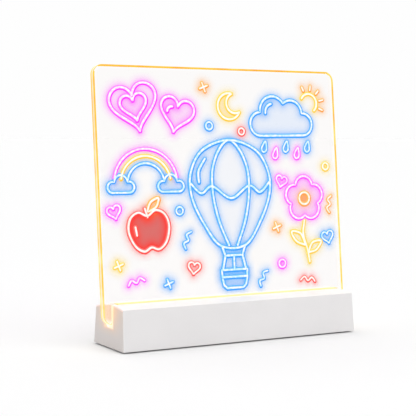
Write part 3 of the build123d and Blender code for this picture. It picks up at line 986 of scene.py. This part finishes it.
@dataclass
class ClearPanel:
    """The clear sheet with its polished faces, and its rim and arrises, which glow with painted light.

    Attributes:
        panel: the panel's frame.
        band: how wide the clearest band inside the edge is, left without the tint so that it shows whiter as
            painted light.
        arris: how far the painted amber glow reaches on to each face.
        corner_steps: how many facets round each corner.
        large: the area that only the sheet's two faces exceed, in square metres.
    """

    panel: PanelFrame
    band: float = 1.7 * MM
    arris: float = 0.8 * MM
    corner_steps: int = 20
    large: float = 0.01

    def build(self) -> bpy.types.Object:
        """Models the sheet: a block with rounded corners, broken edges and bands inset in its faces.

        Returns:
            The piece.
        """
        size = (self.panel.width, self.panel.thickness, self.panel.height)
        activate()
        bpy.ops.mesh.primitive_cube_add(size=1, location=[0, size[1] / 2, size[2] / 2], scale=size)
        piece = bpy.context.object
        piece.name = "clear_panel"
        bpy.ops.object.transform_apply(location=True, rotation=True, scale=True)
        bpy.ops.object.mode_set(mode="EDIT")
        pick(piece, "EDGE", lambda edge: abs((edge.verts[1].co - edge.verts[0].co).normalized().y) > ALONG)
        bpy.ops.mesh.bevel(offset=self.panel.corner, segments=self.corner_steps, affect="EDGES")
        pick(piece, "FACE", lambda face: abs(face.normal.y) > ALONG)
        bpy.ops.mesh.bevel(offset=self.panel.chamfer, segments=1, affect="EDGES")
        for width in (self.arris, self.band):
            pick(piece, "FACE", lambda face: abs(face.normal.y) > ALONG and face.calc_area() > self.large)
            bpy.ops.mesh.inset(thickness=width, depth=0, use_individual=True)
        bpy.ops.object.mode_set(mode="OBJECT")
        self.dress(piece)
        settle(piece, self.panel.matrix())
        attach(piece, "panel")
        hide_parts("acrylic_panel")
        return piece

    def dress(self, piece: bpy.types.Object) -> None:
        """Gives each part of the sheet its finish.

        Args:
            piece: the sheet, in its own frame.
        """
        panel = self.panel
        # Cell-cast between glass and polished: a mirror gloss, and a tint too faint to see but on white.
        clear = CastAcrylic("cast_acrylic_polished", "#FDFBFA", "#FDFCFC", 0.0, ior=1.49, spread=0.03)
        # Painted light: the band along the lit edge has no tint, so that it shows whiter.
        bright = CastAcrylic("cast_acrylic_painted_light_band", "#FFFFFF", "#FFFFFF", 0.0, ior=1.49, spread=0.0)
        # Sawn, scraped and flame-polished: the light that the faces trap comes out here, painted as a glow.
        rim = PaintedGlowRim("acrylic_edge_flame_polished_painted_glow", "#FEEED2", "#FEE0B4", 0.2, ior=1.49, panel=panel)
        # The arrises glow with the same painted light, in amber.
        lit = {"name": "acrylic_arris_painted_glow", "colour": "#FFC864", "shade": "#FFD878"}
        arris = replace(rim, front=panel.thickness, **lit)
        for finish in (clear, bright, rim, arris):
            piece.data.materials.append(finish.build())
        sides = [face for face in piece.data.polygons if abs(face.normal.y) > ALONG]
        faces = sorted(sides, key=lambda face: face.area)[-2:]
        edge_x = panel.width / 2 - panel.chamfer - self.arris / 2
        edge_z = panel.height / 2 - panel.chamfer - self.arris / 2
        for face in piece.data.polygons:
            spots = [piece.data.vertices[i].co for i in face.vertices]
            far_x = max(abs(spot.x) for spot in spots)
            far_z = max(abs(spot.z - panel.height / 2) for spot in spots)
            on_edge = far_x > edge_x or far_z > edge_z
            if face in faces:
                face.material_index = Skin.CLEAR
            elif abs(face.normal.y) > ALONG:
                face.material_index = Skin.ARRIS if on_edge else Skin.BAND
            else:
                face.material_index = Skin.RIM if abs(face.normal.y) < AWAY else Skin.ARRIS


@dataclass(frozen=True)
class Stroke:
    """A line of ink on the panel, in millimetres from the middle of its lower edge.

    Attributes:
        ink: its ink.
        points: the points that it runs through.
        closed: whether it comes back to its start.
        smooth: whether it curves through its points or runs straight between them.
        fill: how strongly its inside is tinted.
        weight: how heavy it is, where 1 is a line of the usual width.
    """

    ink: Ink
    points: Line
    closed: bool = False
    smooth: bool = True
    fill: float = 0.0
    weight: float = 1.0

    def line(self, step: float) -> np.ndarray:
        """The stroke as close points.

        Args:
            step: how far apart they may be.

        Returns:
            The points, one to a row.
        """
        knots = np.array(self.points, float)
        count = len(knots) if self.closed else len(knots) - 1
        made = []
        for i in range(count):
            if self.closed:
                a, b, c, d = (knots[(i + k) % len(knots)] for k in (-1, 0, 1, 2))
            else:
                a, b, c, d = (knots[min(max(i + k, 0), len(knots) - 1)] for k in (-1, 0, 1, 2))
            steps = max(int(math.ceil(np.linalg.norm(c - b) / step)), 1)
            t = np.arange(steps)[:, None] / steps
            if self.smooth:
                bend = (2 * a - 5 * b + 4 * c - d) * t**2 + (3 * b - a - 3 * c + d) * t**3
                made.append(b + ((c - a) * t + bend) / 2)
            else:
                made.append(b + (c - b) * t)
        if not self.closed:
            made.append(knots[-1:])
        return np.concatenate(made)


def arc(x: float, z: float, radius: float, start: float, end: float, tall: float = 1.0) -> list[Point]:
    """Points round part of a circle or an ellipse.

    Args:
        x: its middle.
        z: its middle.
        radius: its radius along X.
        start: where it starts, in degrees.
        end: where it ends, in degrees.
        tall: its height as a share of its width.

    Returns:
        The points.
    """
    count = max(int(abs(end - start) / ARC_STEP), 2)
    turns = [math.radians(start + (end - start) * i / count) for i in range(count + 1)]
    return [(x + radius * math.cos(t), z + tall * radius * math.sin(t)) for t in turns]


def placed(points: Line, x: float, z: float, turn: float = 0.0) -> list[Point]:
    """Turns an outline about its own middle and moves it.

    Args:
        points: the outline.
        x: where its middle goes.
        z: where its middle goes.
        turn: how far it is turned, in degrees.

    Returns:
        The outline in its place.
    """
    c, s = math.cos(math.radians(turn)), math.sin(math.radians(turn))
    return [(x + c * a - s * b, z + s * a + c * b) for a, b in points]


def heart(x: float, z: float, size: float, turn: float = 0.0, count: int = 48) -> list[Point]:
    """The closed outline of a heart.

    Args:
        x: its middle.
        z: its middle.
        size: its width.
        turn: how far it is turned, in degrees.
        count: how many points it has.

    Returns:
        The points.
    """
    made = []
    # The curve is 32 units wide, and the 2.5 at its end puts its middle at the origin.
    for i in range(count):
        t = 2 * math.pi * (i + 0.5) / count
        across = 16 * math.sin(t) ** 3
        up = 13 * math.cos(t) - 5 * math.cos(2 * t) - 2 * math.cos(3 * t) - math.cos(4 * t) + 2.5
        made.append((across * size / 32, up * size / 32))
    return placed(made, x, z, turn)


def lobes(circles: Sequence[tuple[float, float, float]], closed: bool) -> list[Point]:
    """The outline of a row of overlapping circles, clockwise from the first to the last.

    Args:
        circles: the middle and the radius of each.
        closed: whether the last one meets the first.

    Returns:
        The points of the outline, with a notch between each two circles.
    """
    count = len(circles)

    def notch(i: int, k: int) -> Point:
        """Finds where two circles meet, on the left of the way from one to the other.

        Args:
            i: the first circle's number.
            k: the second one's.

        Returns:
            The place.
        """
        (x0, z0, r0), (x1, z1, r1) = circles[i % count], circles[k % count]
        gap = math.hypot(x1 - x0, z1 - z0)
        along = (r0**2 - r1**2 + gap**2) / (2 * gap)
        off = math.sqrt(r0**2 - along**2)
        ux, uz = (x1 - x0) / gap, (z1 - z0) / gap
        return x0 + ux * along - uz * off, z0 + uz * along + ux * off

    made = []
    for i, (x, z, radius) in enumerate(circles):
        start = notch(i - 1, i) if closed or i else (x, z - radius)
        end = notch(i, i + 1) if closed or i < count - 1 else (x, z - radius)
        first, last = (math.degrees(math.atan2(spot[1] - z, spot[0] - x)) for spot in (start, end))
        if last >= first - 1:
            last -= 360
        made += arc(x, z, radius, first, last)
    return made


@dataclass
class NeonDrawing:
    """A cheerful drawing in glowing marker ink: a balloon among hearts, a cloud, an apple and a flower.

    Attributes:
        panel: the panel's frame.
        half_width: half the width of a line, in millimetres.
        height: how high a line stands on the sheet, in millimetres.
        lift: the gap from the sheet to the film, and from the film to a line, in millimetres.
        step: how far apart the points along a line are, in millimetres.
        cell: how wide the cells of the glow film are, in millimetres.
        inset: how far short of the sheet the film is, in millimetres.
        faint: the strength of glow under which the film is cut away.
        peak: how strong the glow is at the side of a line.
        reach: over what distance it falls to about a third, in millimetres.
        rest: how much of it is taken off, so that it ends.
        margin: how far from a line it is worked out, in millimetres.
        fill_reach: how far the deep colour reaches into a filled outline, in millimetres.
        wobble: how unevenly the pen ran, as a share of a line's width.
        wobble_length: over what length of line, in millimetres.
        shaded_side_direction: the direction in which the sides of the lines are deepest, as painted shade.
        cap_turns: where the points of a line's round end are, in degrees.
        bead_steps: how finely a line is rounded.
        batch: how many of the film's points are worked out at a time.
        strokes: the lines of all the motifs.
    """

    panel: PanelFrame
    half_width: float = 2.0
    height: float = 0.5
    lift: float = 0.03
    step: float = 0.8
    cell: float = 1.25
    inset: float = 4
    faint: float = 0.006
    peak: float = 0.48
    reach: float = 2.76
    rest: float = 0.02
    margin: float = 9.0
    fill_reach: float = 3.5
    wobble: float = 0.06
    wobble_length: float = 5.0
    shaded_side_direction: tuple = (0.62, 0.0, -0.78)
    cap_turns: tuple = (4, 25, 45, 65)
    bead_steps: int = 6
    batch: int = 4000
    strokes: list[Stroke] = field(default_factory=list)

    def balloon(self) -> list[Stroke]:
        """The large balloon near the middle, with its gores, skirt, ropes and basket.

        Returns:
            The lines.
        """
        side = [(-13, 63), (-30, 84), (-41, 108), (-41, 130), (-28, 150), (0, 159)]
        seam = [(-4.5, 63), (-14, 86), (-19, 110), (-18.5, 132), (-11, 150), (0, 159)]
        skirt = [(-41.5, 120), (-31, 111), (-19.5, 117), (0, 106), (19.5, 117), (31, 111), (41.5, 120)]
        basket = [(-13.5, 41), (13.5, 41), (13, 33), (11.5, 27), (8.5, 24.5)]
        basket += [(-8.5, 24.5), (-11.5, 27), (-13, 33)]
        outline, middle = (half + [(-a, b) for a, b in half[-2::-1]] for half in (side, seam))
        return [
            Stroke(Ink.BLUE, placed(points, 6.0, 0), *options)
            for points, *options in (
                (outline, True, True, 0.07),
                (middle,),
                (skirt,),
                ([(-33, 121), (-33, 131), (-26, 142)],),
                ([(-12, 62), (-9, 54), (9, 54), (12, 62)], False, False),
                ([(-9, 54), (-12, 42)], False, False),
                ([(9, 54), (12, 42)], False, False),
                ([(0, 54), (0, 42)], False, False),
                (basket, True, False, 0.34),
                ([(-13, 34.5), (13, 34.5)], False, False),
            )
        ]

    def hearts(self) -> list[Stroke]:
        """The two hearts at the upper left.

        Returns:
            The lines.
        """
        pink = Ink.MAGENTA
        return [
            Stroke(pink, heart(-88, 187, 46, 12), True, False, 0.0),
            Stroke(pink, heart(-88.5, 187.5, 26, 12), True, False, 0.30),
            Stroke(pink, heart(-47, 181, 34, -14), True, False, 0.24),
            Stroke(pink, placed(arc(0, 0, 4.6, 95, 190), -51.5, 184.5, -14)),
        ]

    def rainbow(self) -> list[Stroke]:
        """The rainbow under the hearts, with a small cloud at each foot.

        Returns:
            The lines.
        """
        x, z = -80, 121
        bows = ((Ink.MAGENTA, 31), (Ink.YELLOW, 24.5), (Ink.BLUE, 18))
        made = [Stroke(ink, arc(x, z, radius, 170, 10, 0.98)) for ink, radius in bows]
        for way in (-1, 1):
            foot = x + way * 24.5
            puffs = [(foot - 8, z - 3, 4.8), (foot, z + 1, 6.5), (foot + 8, z - 3, 4.8)]
            made.append(Stroke(Ink.BLUE, lobes(puffs, False), True, False, 0.25))
        return made

    def cloud(self) -> list[Stroke]:
        """The cloud at the upper right, with its rain and the sun behind it.

        Returns:
            The lines.
        """
        outline = lobes([(41, 174, 11), (55, 186, 14), (75, 184, 12.5), (88, 174, 10.5)], False)
        made = [
            Stroke(Ink.BLUE, outline, True, False, 0.16),
            Stroke(Ink.BLUE, arc(55, 185, 8, 100, 185)),
            Stroke(Ink.YELLOW, arc(96, 194, 9.0, -48, 150), weight=0.95),
        ]
        ray = [(12.8, 0), (16.8, 0)]
        for turn in (-22, 12, 46, 80, 114):
            made.append(Stroke(Ink.ORANGE, placed(ray, 96, 194, turn), False, False, weight=0.85))
        drop = [(0, 6), (2.6, -0.4), (1.9, -3.2), (0, -4.2), (-1.9, -3.2), (-2.6, -0.4)]
        for i, (x, z) in enumerate(((44, 152), (56, 146), (68, 152), (80, 146), (92, 152))):
            ink = Ink.BLUE if i % 2 == 0 else Ink.MAGENTA
            made.append(Stroke(ink, placed(drop, x, z, -14), True, True, 0.5, 0.85))
        return made

    def apple(self) -> list[Stroke]:
        """The red apple at the left, with its leaf and a shine.

        Returns:
            The lines.
        """
        right = [(0, 12.5), (8.5, 16.5), (17, 12), (20, 1), (15.5, -12), (7.5, -18), (0, -15.5)]
        outline = right + [(-a, b) for a, b in right[-2:0:-1]]
        leaf = [(1, 17), (5, 24), (13, 26.5), (10, 19.5), (3, 16.5)]
        return [
            Stroke(ink, placed(points, -79, 80, 6), *options)
            for ink, points, *options in (
                (Ink.RED, outline, True, True, 0.96),
                (Ink.RED, [(-13, 4), (-12.5, -3)]),
                (Ink.ORANGE, leaf, True, True, 0.3),
                (Ink.RED, [(0, 11.5), (-1.5, 19)]),
            )
        ]

    def flower(self) -> list[Stroke]:
        """The flower at the lower right, with its stem and leaves.

        Returns:
            The lines.
        """
        x, z = 86, 104
        turns = [math.radians(90 - 72 * i) for i in range(5)]
        petals = [(x + 11.5 * math.cos(turn), z + 11.5 * math.sin(turn), 9.5) for turn in turns]
        stem = [(-1, -21), (-3, -34), (1, -48), (3, -60)]
        left = [(-1, -44), (-11, -40), (-16, -31), (-6, -33), (-1, -44)]
        right = [(2, -51), (11, -49), (17, -41), (7, -42), (2, -51)]
        return [
            Stroke(Ink.MAGENTA, lobes(petals, True), True, False, 0.30),
            Stroke(Ink.ORANGE, arc(x, z, 5.6, 0, 348), True, True, 0.75),
            *(Stroke(Ink.YELLOW, placed(points, x, z)) for points in (stem, left, right)),
        ]

    def moon(self) -> list[Stroke]:
        """The crescent moon above the balloon."""
        outline = arc(0, 0, 12, 50, 310) + arc(6.9, 0, 9.2, 275, 85)
        return [Stroke(Ink.YELLOW, placed(outline, 8, 190, 24), True, False, 0.35)]

    def small_marks(self) -> list[Stroke]:
        """Small hearts, rings, crosses and squiggles between the larger motifs.

        Returns:
            The lines.
        """
        hearts = (
            (Ink.MAGENTA, 61, 120, 12, -16),
            (Ink.BLUE, 111, 66, 13, 12),
            (Ink.RED, -36, 44, 12, -10),
            (Ink.MAGENTA, -112, 96, 13, 14),
        )
        rings = (
            (Ink.BLUE, -48, 96, 3.4),
            (Ink.YELLOW, 112, 134, 3.2),
            (Ink.MAGENTA, 58, 44, 3.6),
            (Ink.BLUE, -14, 172, 3.4),
            (Ink.RED, 20, 167, 3.0),
        )
        crosses = ((Ink.YELLOW, -110, 50), (Ink.ORANGE, 54, 78), (Ink.ORANGE, -18, 207), (Ink.BLUE, -62, 32))
        waves = (
            (Ink.MAGENTA, -94, 36, 14),
            (Ink.BLUE, -42, 70, 68),
            (Ink.ORANGE, 114, 98, 80),
            (Ink.RED, 86, 28, -8),
            (Ink.BLUE, 36, 32, 60),
        )
        bar = [(-4.2, 0), (4.2, 0)]
        wave = [(-8, -1.6), (-4, 1.8), (0, -1.6), (4, 1.8), (8, -1.6)]
        made = [Stroke(ink, heart(*where), True, False, 0.3) for ink, *where in hearts]
        made += [Stroke(ink, arc(*where, 0, 330), True, True, 0.4) for ink, *where in rings]
        for ink, x, z in crosses:
            made += [Stroke(ink, placed(bar, x, z, turn), False, False) for turn in (20, 110)]
        return made + [Stroke(ink, placed(wave, *where)) for ink, *where in waves]

    def draw(self) -> None:
        """Puts all the motifs on the panel, each with the weight of its lines."""
        motifs = (
            (self.balloon, 1.12),
            (self.hearts, 1.15),
            (self.rainbow, 1.0),
            (self.cloud, 1.1),
            (self.apple, 1.1),
            (self.flower, 1.05),
            (self.moon, 1.05),
            (self.small_marks, 0.92),
        )
        self.strokes = [
            replace(line, weight=weight * line.weight) for motif, weight in motifs for line in motif()
        ]

    def build(self) -> list[bpy.types.Object]:
        """Models the lines of each ink and the glow round them.

        Returns:
            The pieces.
        """
        self.draw()
        return [self.build_lines(ink) for ink in Ink] + [self.build_glow()]

    def build_lines(self, ink: Ink) -> bpy.types.Object:
        """Models all the lines of one ink as beads that are flat below and rounded above.

        Args:
            ink: the ink.

        Returns:
            The piece.
        """
        name = f"{ink.name.lower()}_ink_lines"
        curve = bpy.data.curves.new(name, "CURVE")
        curve.dimensions = "3D"
        curve.bevel_depth = self.half_width
        curve.bevel_resolution = self.bead_steps
        curve.use_fill_caps = True
        for stroke in self.strokes:
            if stroke.ink is ink:
                self.add_spline(curve, stroke)
        piece = bpy.data.objects.new(name, curve)
        bpy.context.scene.collection.objects.link(piece)
        activate(piece)
        bpy.ops.object.convert(target="MESH")
        piece = bpy.context.object
        spots, normals = read_points(piece, "co"), read_points(piece, "normal")
        crest = np.abs(normals[:, 1])
        # Painted shade: how far each point faces the lower right, where the lines are deeper.
        side = normals @ np.array(self.shaded_side_direction, np.float32)
        above = spots[:, 1] * self.height / self.half_width
        spots[:, 1] = np.where(spots[:, 1] < 0, above, crest * self.lift)
        spots[:, 1] -= 2 * self.lift + self.lift
        piece.data.vertices.foreach_set("co", spots.ravel())
        for label, values in (("crest", crest), ("side", side)):
            attribute = piece.data.attributes.new(label, "FLOAT", "POINT")
            attribute.data.foreach_set("value", values)
        bpy.ops.object.shade_smooth()
        # Opaque paint-marker ink with a fluorescent dye: it stands up as a bead, with a glow painted at its
        # heart and shade painted on its lower right side.
        finish = NeonInk(f"{ink.name.lower()}_fluorescent_ink_painted_glow", "#FFFFFF", "#101010", 0.35, ink=ink)
        piece.data.materials.append(finish.build())
        settle(piece, self.panel.matrix() @ Matrix.Scale(MM, 4))
        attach(piece, "panel")
        return piece

    def add_spline(self, curve: bpy.types.Curve, stroke: Stroke) -> None:
        """Adds one line to a curve, with round ends where it is open.

        Args:
            curve: the curve.
            stroke: the line.
        """
        points = stroke.line(self.step)
        run = np.arange(len(points)) * self.step / self.wobble_length
        radii = stroke.weight * (1 + self.wobble * np.sin(run + points[0].sum()))
        if not stroke.closed:
            turns = np.radians(self.cap_turns)
            caps, sizes = -self.half_width * stroke.weight * np.cos(turns), stroke.weight * np.sin(turns)
            ways = (points[1] - points[0], points[-1] - points[-2])
            first, last = (way / np.linalg.norm(way) for way in ways)
            head = points[0] + caps[:, None] * first
            tail = points[-1] - caps[::-1, None] * last
            points = np.concatenate([head, points, tail])
            radii = np.concatenate([sizes, radii, sizes[::-1]])
        spline = curve.splines.new("POLY")
        spline.points.add(len(points) - 1)
        for point, (x, z), radius in zip(spline.points, points, radii):
            point.co = (x, 0, z, 1)
            point.radius = radius
        spline.use_cyclic_u = stroke.closed

    def build_glow(self) -> bpy.types.Object:
        """Models the film of glow on the sheet and trims it to where it shows.

        Returns:
            The piece.
        """
        width, height = self.panel.width / MM - self.inset, self.panel.height / MM - self.inset
        columns, rows = int(width / self.cell), int(height / self.cell)
        middle = self.panel.height / MM / 2
        activate()
        bpy.ops.mesh.primitive_grid_add(x_subdivisions=columns, y_subdivisions=rows, size=1)
        piece = bpy.context.object
        piece.name = "ink_glow_film"
        piece.scale = (width, height, 1)
        bpy.ops.object.transform_apply(location=False, rotation=False, scale=True)
        colour = self.glow_at(read_points(piece, "co")[:, :2] + (0, middle))
        attribute = piece.data.attributes.new("glow", "FLOAT_COLOR", "POINT")
        attribute.data.foreach_set("color", colour.astype(np.float32).ravel())
        bpy.ops.object.mode_set(mode="EDIT")
        thin = colour[:, 3] < self.faint
        pick(piece, "FACE", lambda face: all(thin[vertex.index] for vertex in face.verts))
        bpy.ops.mesh.delete(type="FACE")
        bpy.ops.object.mode_set(mode="OBJECT")
        # Light scattered in the sheet by the ink: no surface of its own, only colour that thins out.
        piece.data.materials.append(InkGlow("ink_light_in_acrylic", "#000000", "#000000", 1.0).build())
        stand = Matrix.Translation((0, -self.lift, middle)) @ Matrix.Rotation(math.pi / 2, 4, "X")
        settle(piece, self.panel.matrix() @ Matrix.Scale(MM, 4) @ stand)
        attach(piece, "panel")
        return piece

    def glow_at(self, spots: np.ndarray) -> np.ndarray:
        """The glow's colour and strength at places on the panel.

        Args:
            spots: the places, in millimetres.

        Returns:
            Red, green, blue and strength, one place to a row.
        """
        colour, left = np.zeros((len(spots), 3)), np.ones(len(spots))
        fills, halos = [], []
        for stroke in self.strokes:
            ink = stroke.ink.value
            halo, fill, deep = (np.array(linear(tint)[:3]) for tint in (ink.halo, ink.fill, ink.deep))
            line = stroke.line(self.step)
            low, high = line.min(0) - self.margin, line.max(0) + self.margin
            near = np.flatnonzero(((spots > low) & (spots < high)).all(1))
            parts = np.array_split(spots[near], max(len(near) // self.batch, 1))
            squares = [((part[:, None] - line[None]) ** 2).sum(2).min(1) for part in parts]
            away = np.sqrt(np.concatenate(squares))
            gap = np.maximum(away - self.half_width * stroke.weight, 0)
            halos.append((near, np.clip(self.peak * np.exp(-gap / self.reach) - self.rest, 0, 1), halo))
            if stroke.fill:
                rich = np.exp(-gap / self.fill_reach)[:, None]
                inside = stroke.fill * self.within(spots[near], line)
                fills.append((near, inside, fill * (1 - rich) + deep * rich))
        for near, strength, tint in fills + halos:
            colour[near] = colour[near] * (1 - strength[:, None]) + strength[:, None] * tint
            left[near] *= 1 - strength
        shown = 1 - left
        return np.concatenate([colour / np.maximum(shown, 1e-6)[:, None], shown[:, None]], axis=1)

    @staticmethod
    def within(spots: np.ndarray, outline: np.ndarray) -> np.ndarray:
        """Says which places are inside a closed outline.

        Args:
            spots: the places.
            outline: the points of the outline.

        Returns:
            True or False for each place.
        """
        inside = np.zeros(len(spots), bool)
        for (x0, z0), (x1, z1) in zip(outline, np.roll(outline, -1, axis=0)):
            if z0 == z1:
                continue
            crosses = (z0 > spots[:, 1]) != (z1 > spots[:, 1])
            where = x0 + (spots[:, 1] - z0) * (x1 - x0) / (z1 - z0)
            inside ^= crosses & (spots[:, 0] < where)
        return inside


@dataclass
class LightBase:
    """The base: its shell, cover, cradle and what is inside, all of them nodes of the frame.

    Attributes:
        end: how far out the housing's ends are at their lower edge.
        cradle_half: half the cradle's width, which fills the slot.
        cradle_end: how far out the cradle ends.
        cradle_low: the height of its lower side, on the slot's floor.
        cradle_high: the height of its lip.
    """

    end: float
    cradle_half: float
    cradle_end: float
    cradle_low: float
    cradle_high: float

    @classmethod
    def from_cad(cls) -> "LightBase":
        """Takes the sizes from the frame's boxes."""
        low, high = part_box("panel_cradle")
        return cls(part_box("base_housing")[1].x, high.y, high.x, low.z, high.z)

    def dress(self) -> None:
        """Gives every node of the base its finish."""
        # Injection-moulded against a fine spark-eroded tool: a dry satin white that takes light evenly.
        # Painted on it: a warm glow round the slot's ends, shade on the end faces, a highlight along their
        # upper edges and light on the crown.
        shell = SlotGlowPaintedPlastic(
            "white_abs_spark_eroded",
            "#EEECEC",
            "#EBE9E9",
            0.5,
            0.6,
            0.012,
            45.0,
            slot_half=self.cradle_half,
            slot_floor=self.cradle_low,
            end=self.end,
        )
        # Milky extrusion with a diffusing filler; the glow from the row of lights right under it is painted
        # as emission.
        channel = MilkyChannelPaintedGlow(
            "milky_polycarbonate_extruded_painted_glow",
            "#FFFBE4",
            "#FFF3C8",
            0.35,
            0.5,
            0.004,
            low=self.cradle_low,
            high=self.cradle_high,
            half=self.cradle_half,
            end=self.cradle_end,
        )
        for name, finish in {"base_housing": shell, "panel_cradle": channel, **NODE_FINISHES}.items():
            materials = frame["nodes"][name].data.materials
            materials.clear()
            materials.append(finish.build())
            log.info("dressed %s in %s", name, finish.name)


@dataclass
class Studio:
    """The pale floor, the soft light and the camera.

    Attributes:
        floor_size: the floor's width.
        floor_drop: how far below the object's underside it lies, so that the two don't share a plane.
        paper: how much light it throws back.
        white: how bright the floor and the surroundings look.
        boost: how much of that the floor has of its own.
        sky: how bright the surroundings are as light.
        lamps: the large soft lamps: name, strength, the direction that it shines from, and width in degrees.
        camera_turn: the camera's azimuth, pitch and roll, in degrees.
        camera_place: where it stands.
        lens: its focal length, in millimetres.
        sensor: its sensor's width, in millimetres.
    """

    floor_size: float = 40.0
    floor_drop: float = 0.1 * MM
    paper: float = 0.9
    white: float = 0.991
    boost: float = 0.02
    sky: float = 0.46
    lamps: tuple = (
        ("soft_key", 1.12, (0.25, -0.63, 0.735), 60.0),
        ("soft_back", 1.24, (-0.06, 0.41, 0.91), 54.0),
    )
    camera_turn: tuple = (29.733, 3.814, 0.351)
    camera_place: tuple = (-0.54817, -0.92142, 0.18945)
    lens: float = 102.74
    sensor: float = 36.0

    def build(self) -> None:
        """Builds the floor, the light and the camera."""
        self.build_floor()
        self.build_world()
        for lamp in self.lamps:
            self.build_lamp(*lamp)
        self.build_camera()

    def build_floor(self) -> None:
        """Builds the floor: white paper that keeps the object's soft shadow."""
        activate()
        bpy.ops.mesh.primitive_plane_add(size=self.floor_size, location=(0, 0, -self.floor_drop))
        floor = bpy.context.object
        floor.name = "floor"
        material = bpy.data.materials.new("white_paper_sweep")
        material.use_nodes = True
        material.node_tree.nodes.clear()
        g = Graph(material.node_tree)
        paper = g.add("BsdfDiffuse", {"Color": (self.paper, self.paper, self.paper, 1)}).outputs[0]
        boost = g.math("MULTIPLY", g.seen_directly(), self.boost)
        lift = g.add("Emission", {"Color": (1, 1, 1, 1), "Strength": boost}).outputs[0]
        both = g.add("AddShader", {0: paper, 1: lift}).outputs[0]
        g.add("OutputMaterial", {"Surface": both})
        floor.data.materials.append(material)

    def build_world(self) -> None:
        """Builds the surroundings: white to the eye, and a plain fill as light."""
        world = bpy.data.worlds.new("white_surroundings")
        bpy.context.scene.world = world
        world.use_nodes = True
        world.node_tree.nodes.clear()
        g = Graph(world.node_tree)
        strength = g.span(g.seen_directly(), 0.0, 1.0, self.sky, self.white)
        sky = g.add("Background", {"Color": (1, 1, 1, 1), "Strength": strength}).outputs[0]
        g.add("OutputWorld", {"Surface": sky})

    def build_lamp(self, name: str, strength: float, source: tuple, width: float) -> None:
        """Builds a large soft lamp.

        Args:
            name: its name.
            strength: its strength.
            source: the direction that it shines from.
            width: how wide it is, in degrees.
        """
        lamp = bpy.data.lights.new(name, "SUN")
        lamp.energy = strength
        lamp.angle = math.radians(width)
        piece = bpy.data.objects.new(name, lamp)
        piece.rotation_euler = Vector(source).to_track_quat("Z", "Y").to_euler()
        bpy.context.scene.collection.objects.link(piece)

    def build_camera(self) -> None:
        """Builds the camera at the front left, just above the panel's middle."""
        azimuth, pitch, roll = (math.radians(a) for a in self.camera_turn)
        camera = bpy.data.cameras.new("camera")
        camera.sensor_width = self.sensor
        camera.lens = self.lens
        piece = bpy.data.objects.new("camera", camera)
        turn = Matrix.Rotation(-azimuth, 4, "Z") @ Matrix.Rotation(math.pi / 2 - pitch, 4, "X")
        piece.matrix_world = Matrix.Translation(self.camera_place) @ turn @ Matrix.Rotation(roll, 4, "Z")
        bpy.context.scene.collection.objects.link(piece)
        bpy.context.scene.camera = piece


def main() -> None:
    """Builds the drawing pad and its surroundings."""
    panel = PanelFrame.from_cad()
    lean = math.degrees(panel.lean)
    log.info("panel %.1f by %.1f mm, leaning %.1f degrees", panel.width / MM, panel.height / MM, lean)
    LightBase.from_cad().dress()
    for piece in [ClearPanel(panel).build(), *NeonDrawing(panel).build()]:
        log.info("built %s with %d faces", piece.name, len(piece.data.polygons))
    Studio().build()
    bpy.context.scene.view_settings.view_transform = "Standard"


if __name__ == "__main__":
    main()
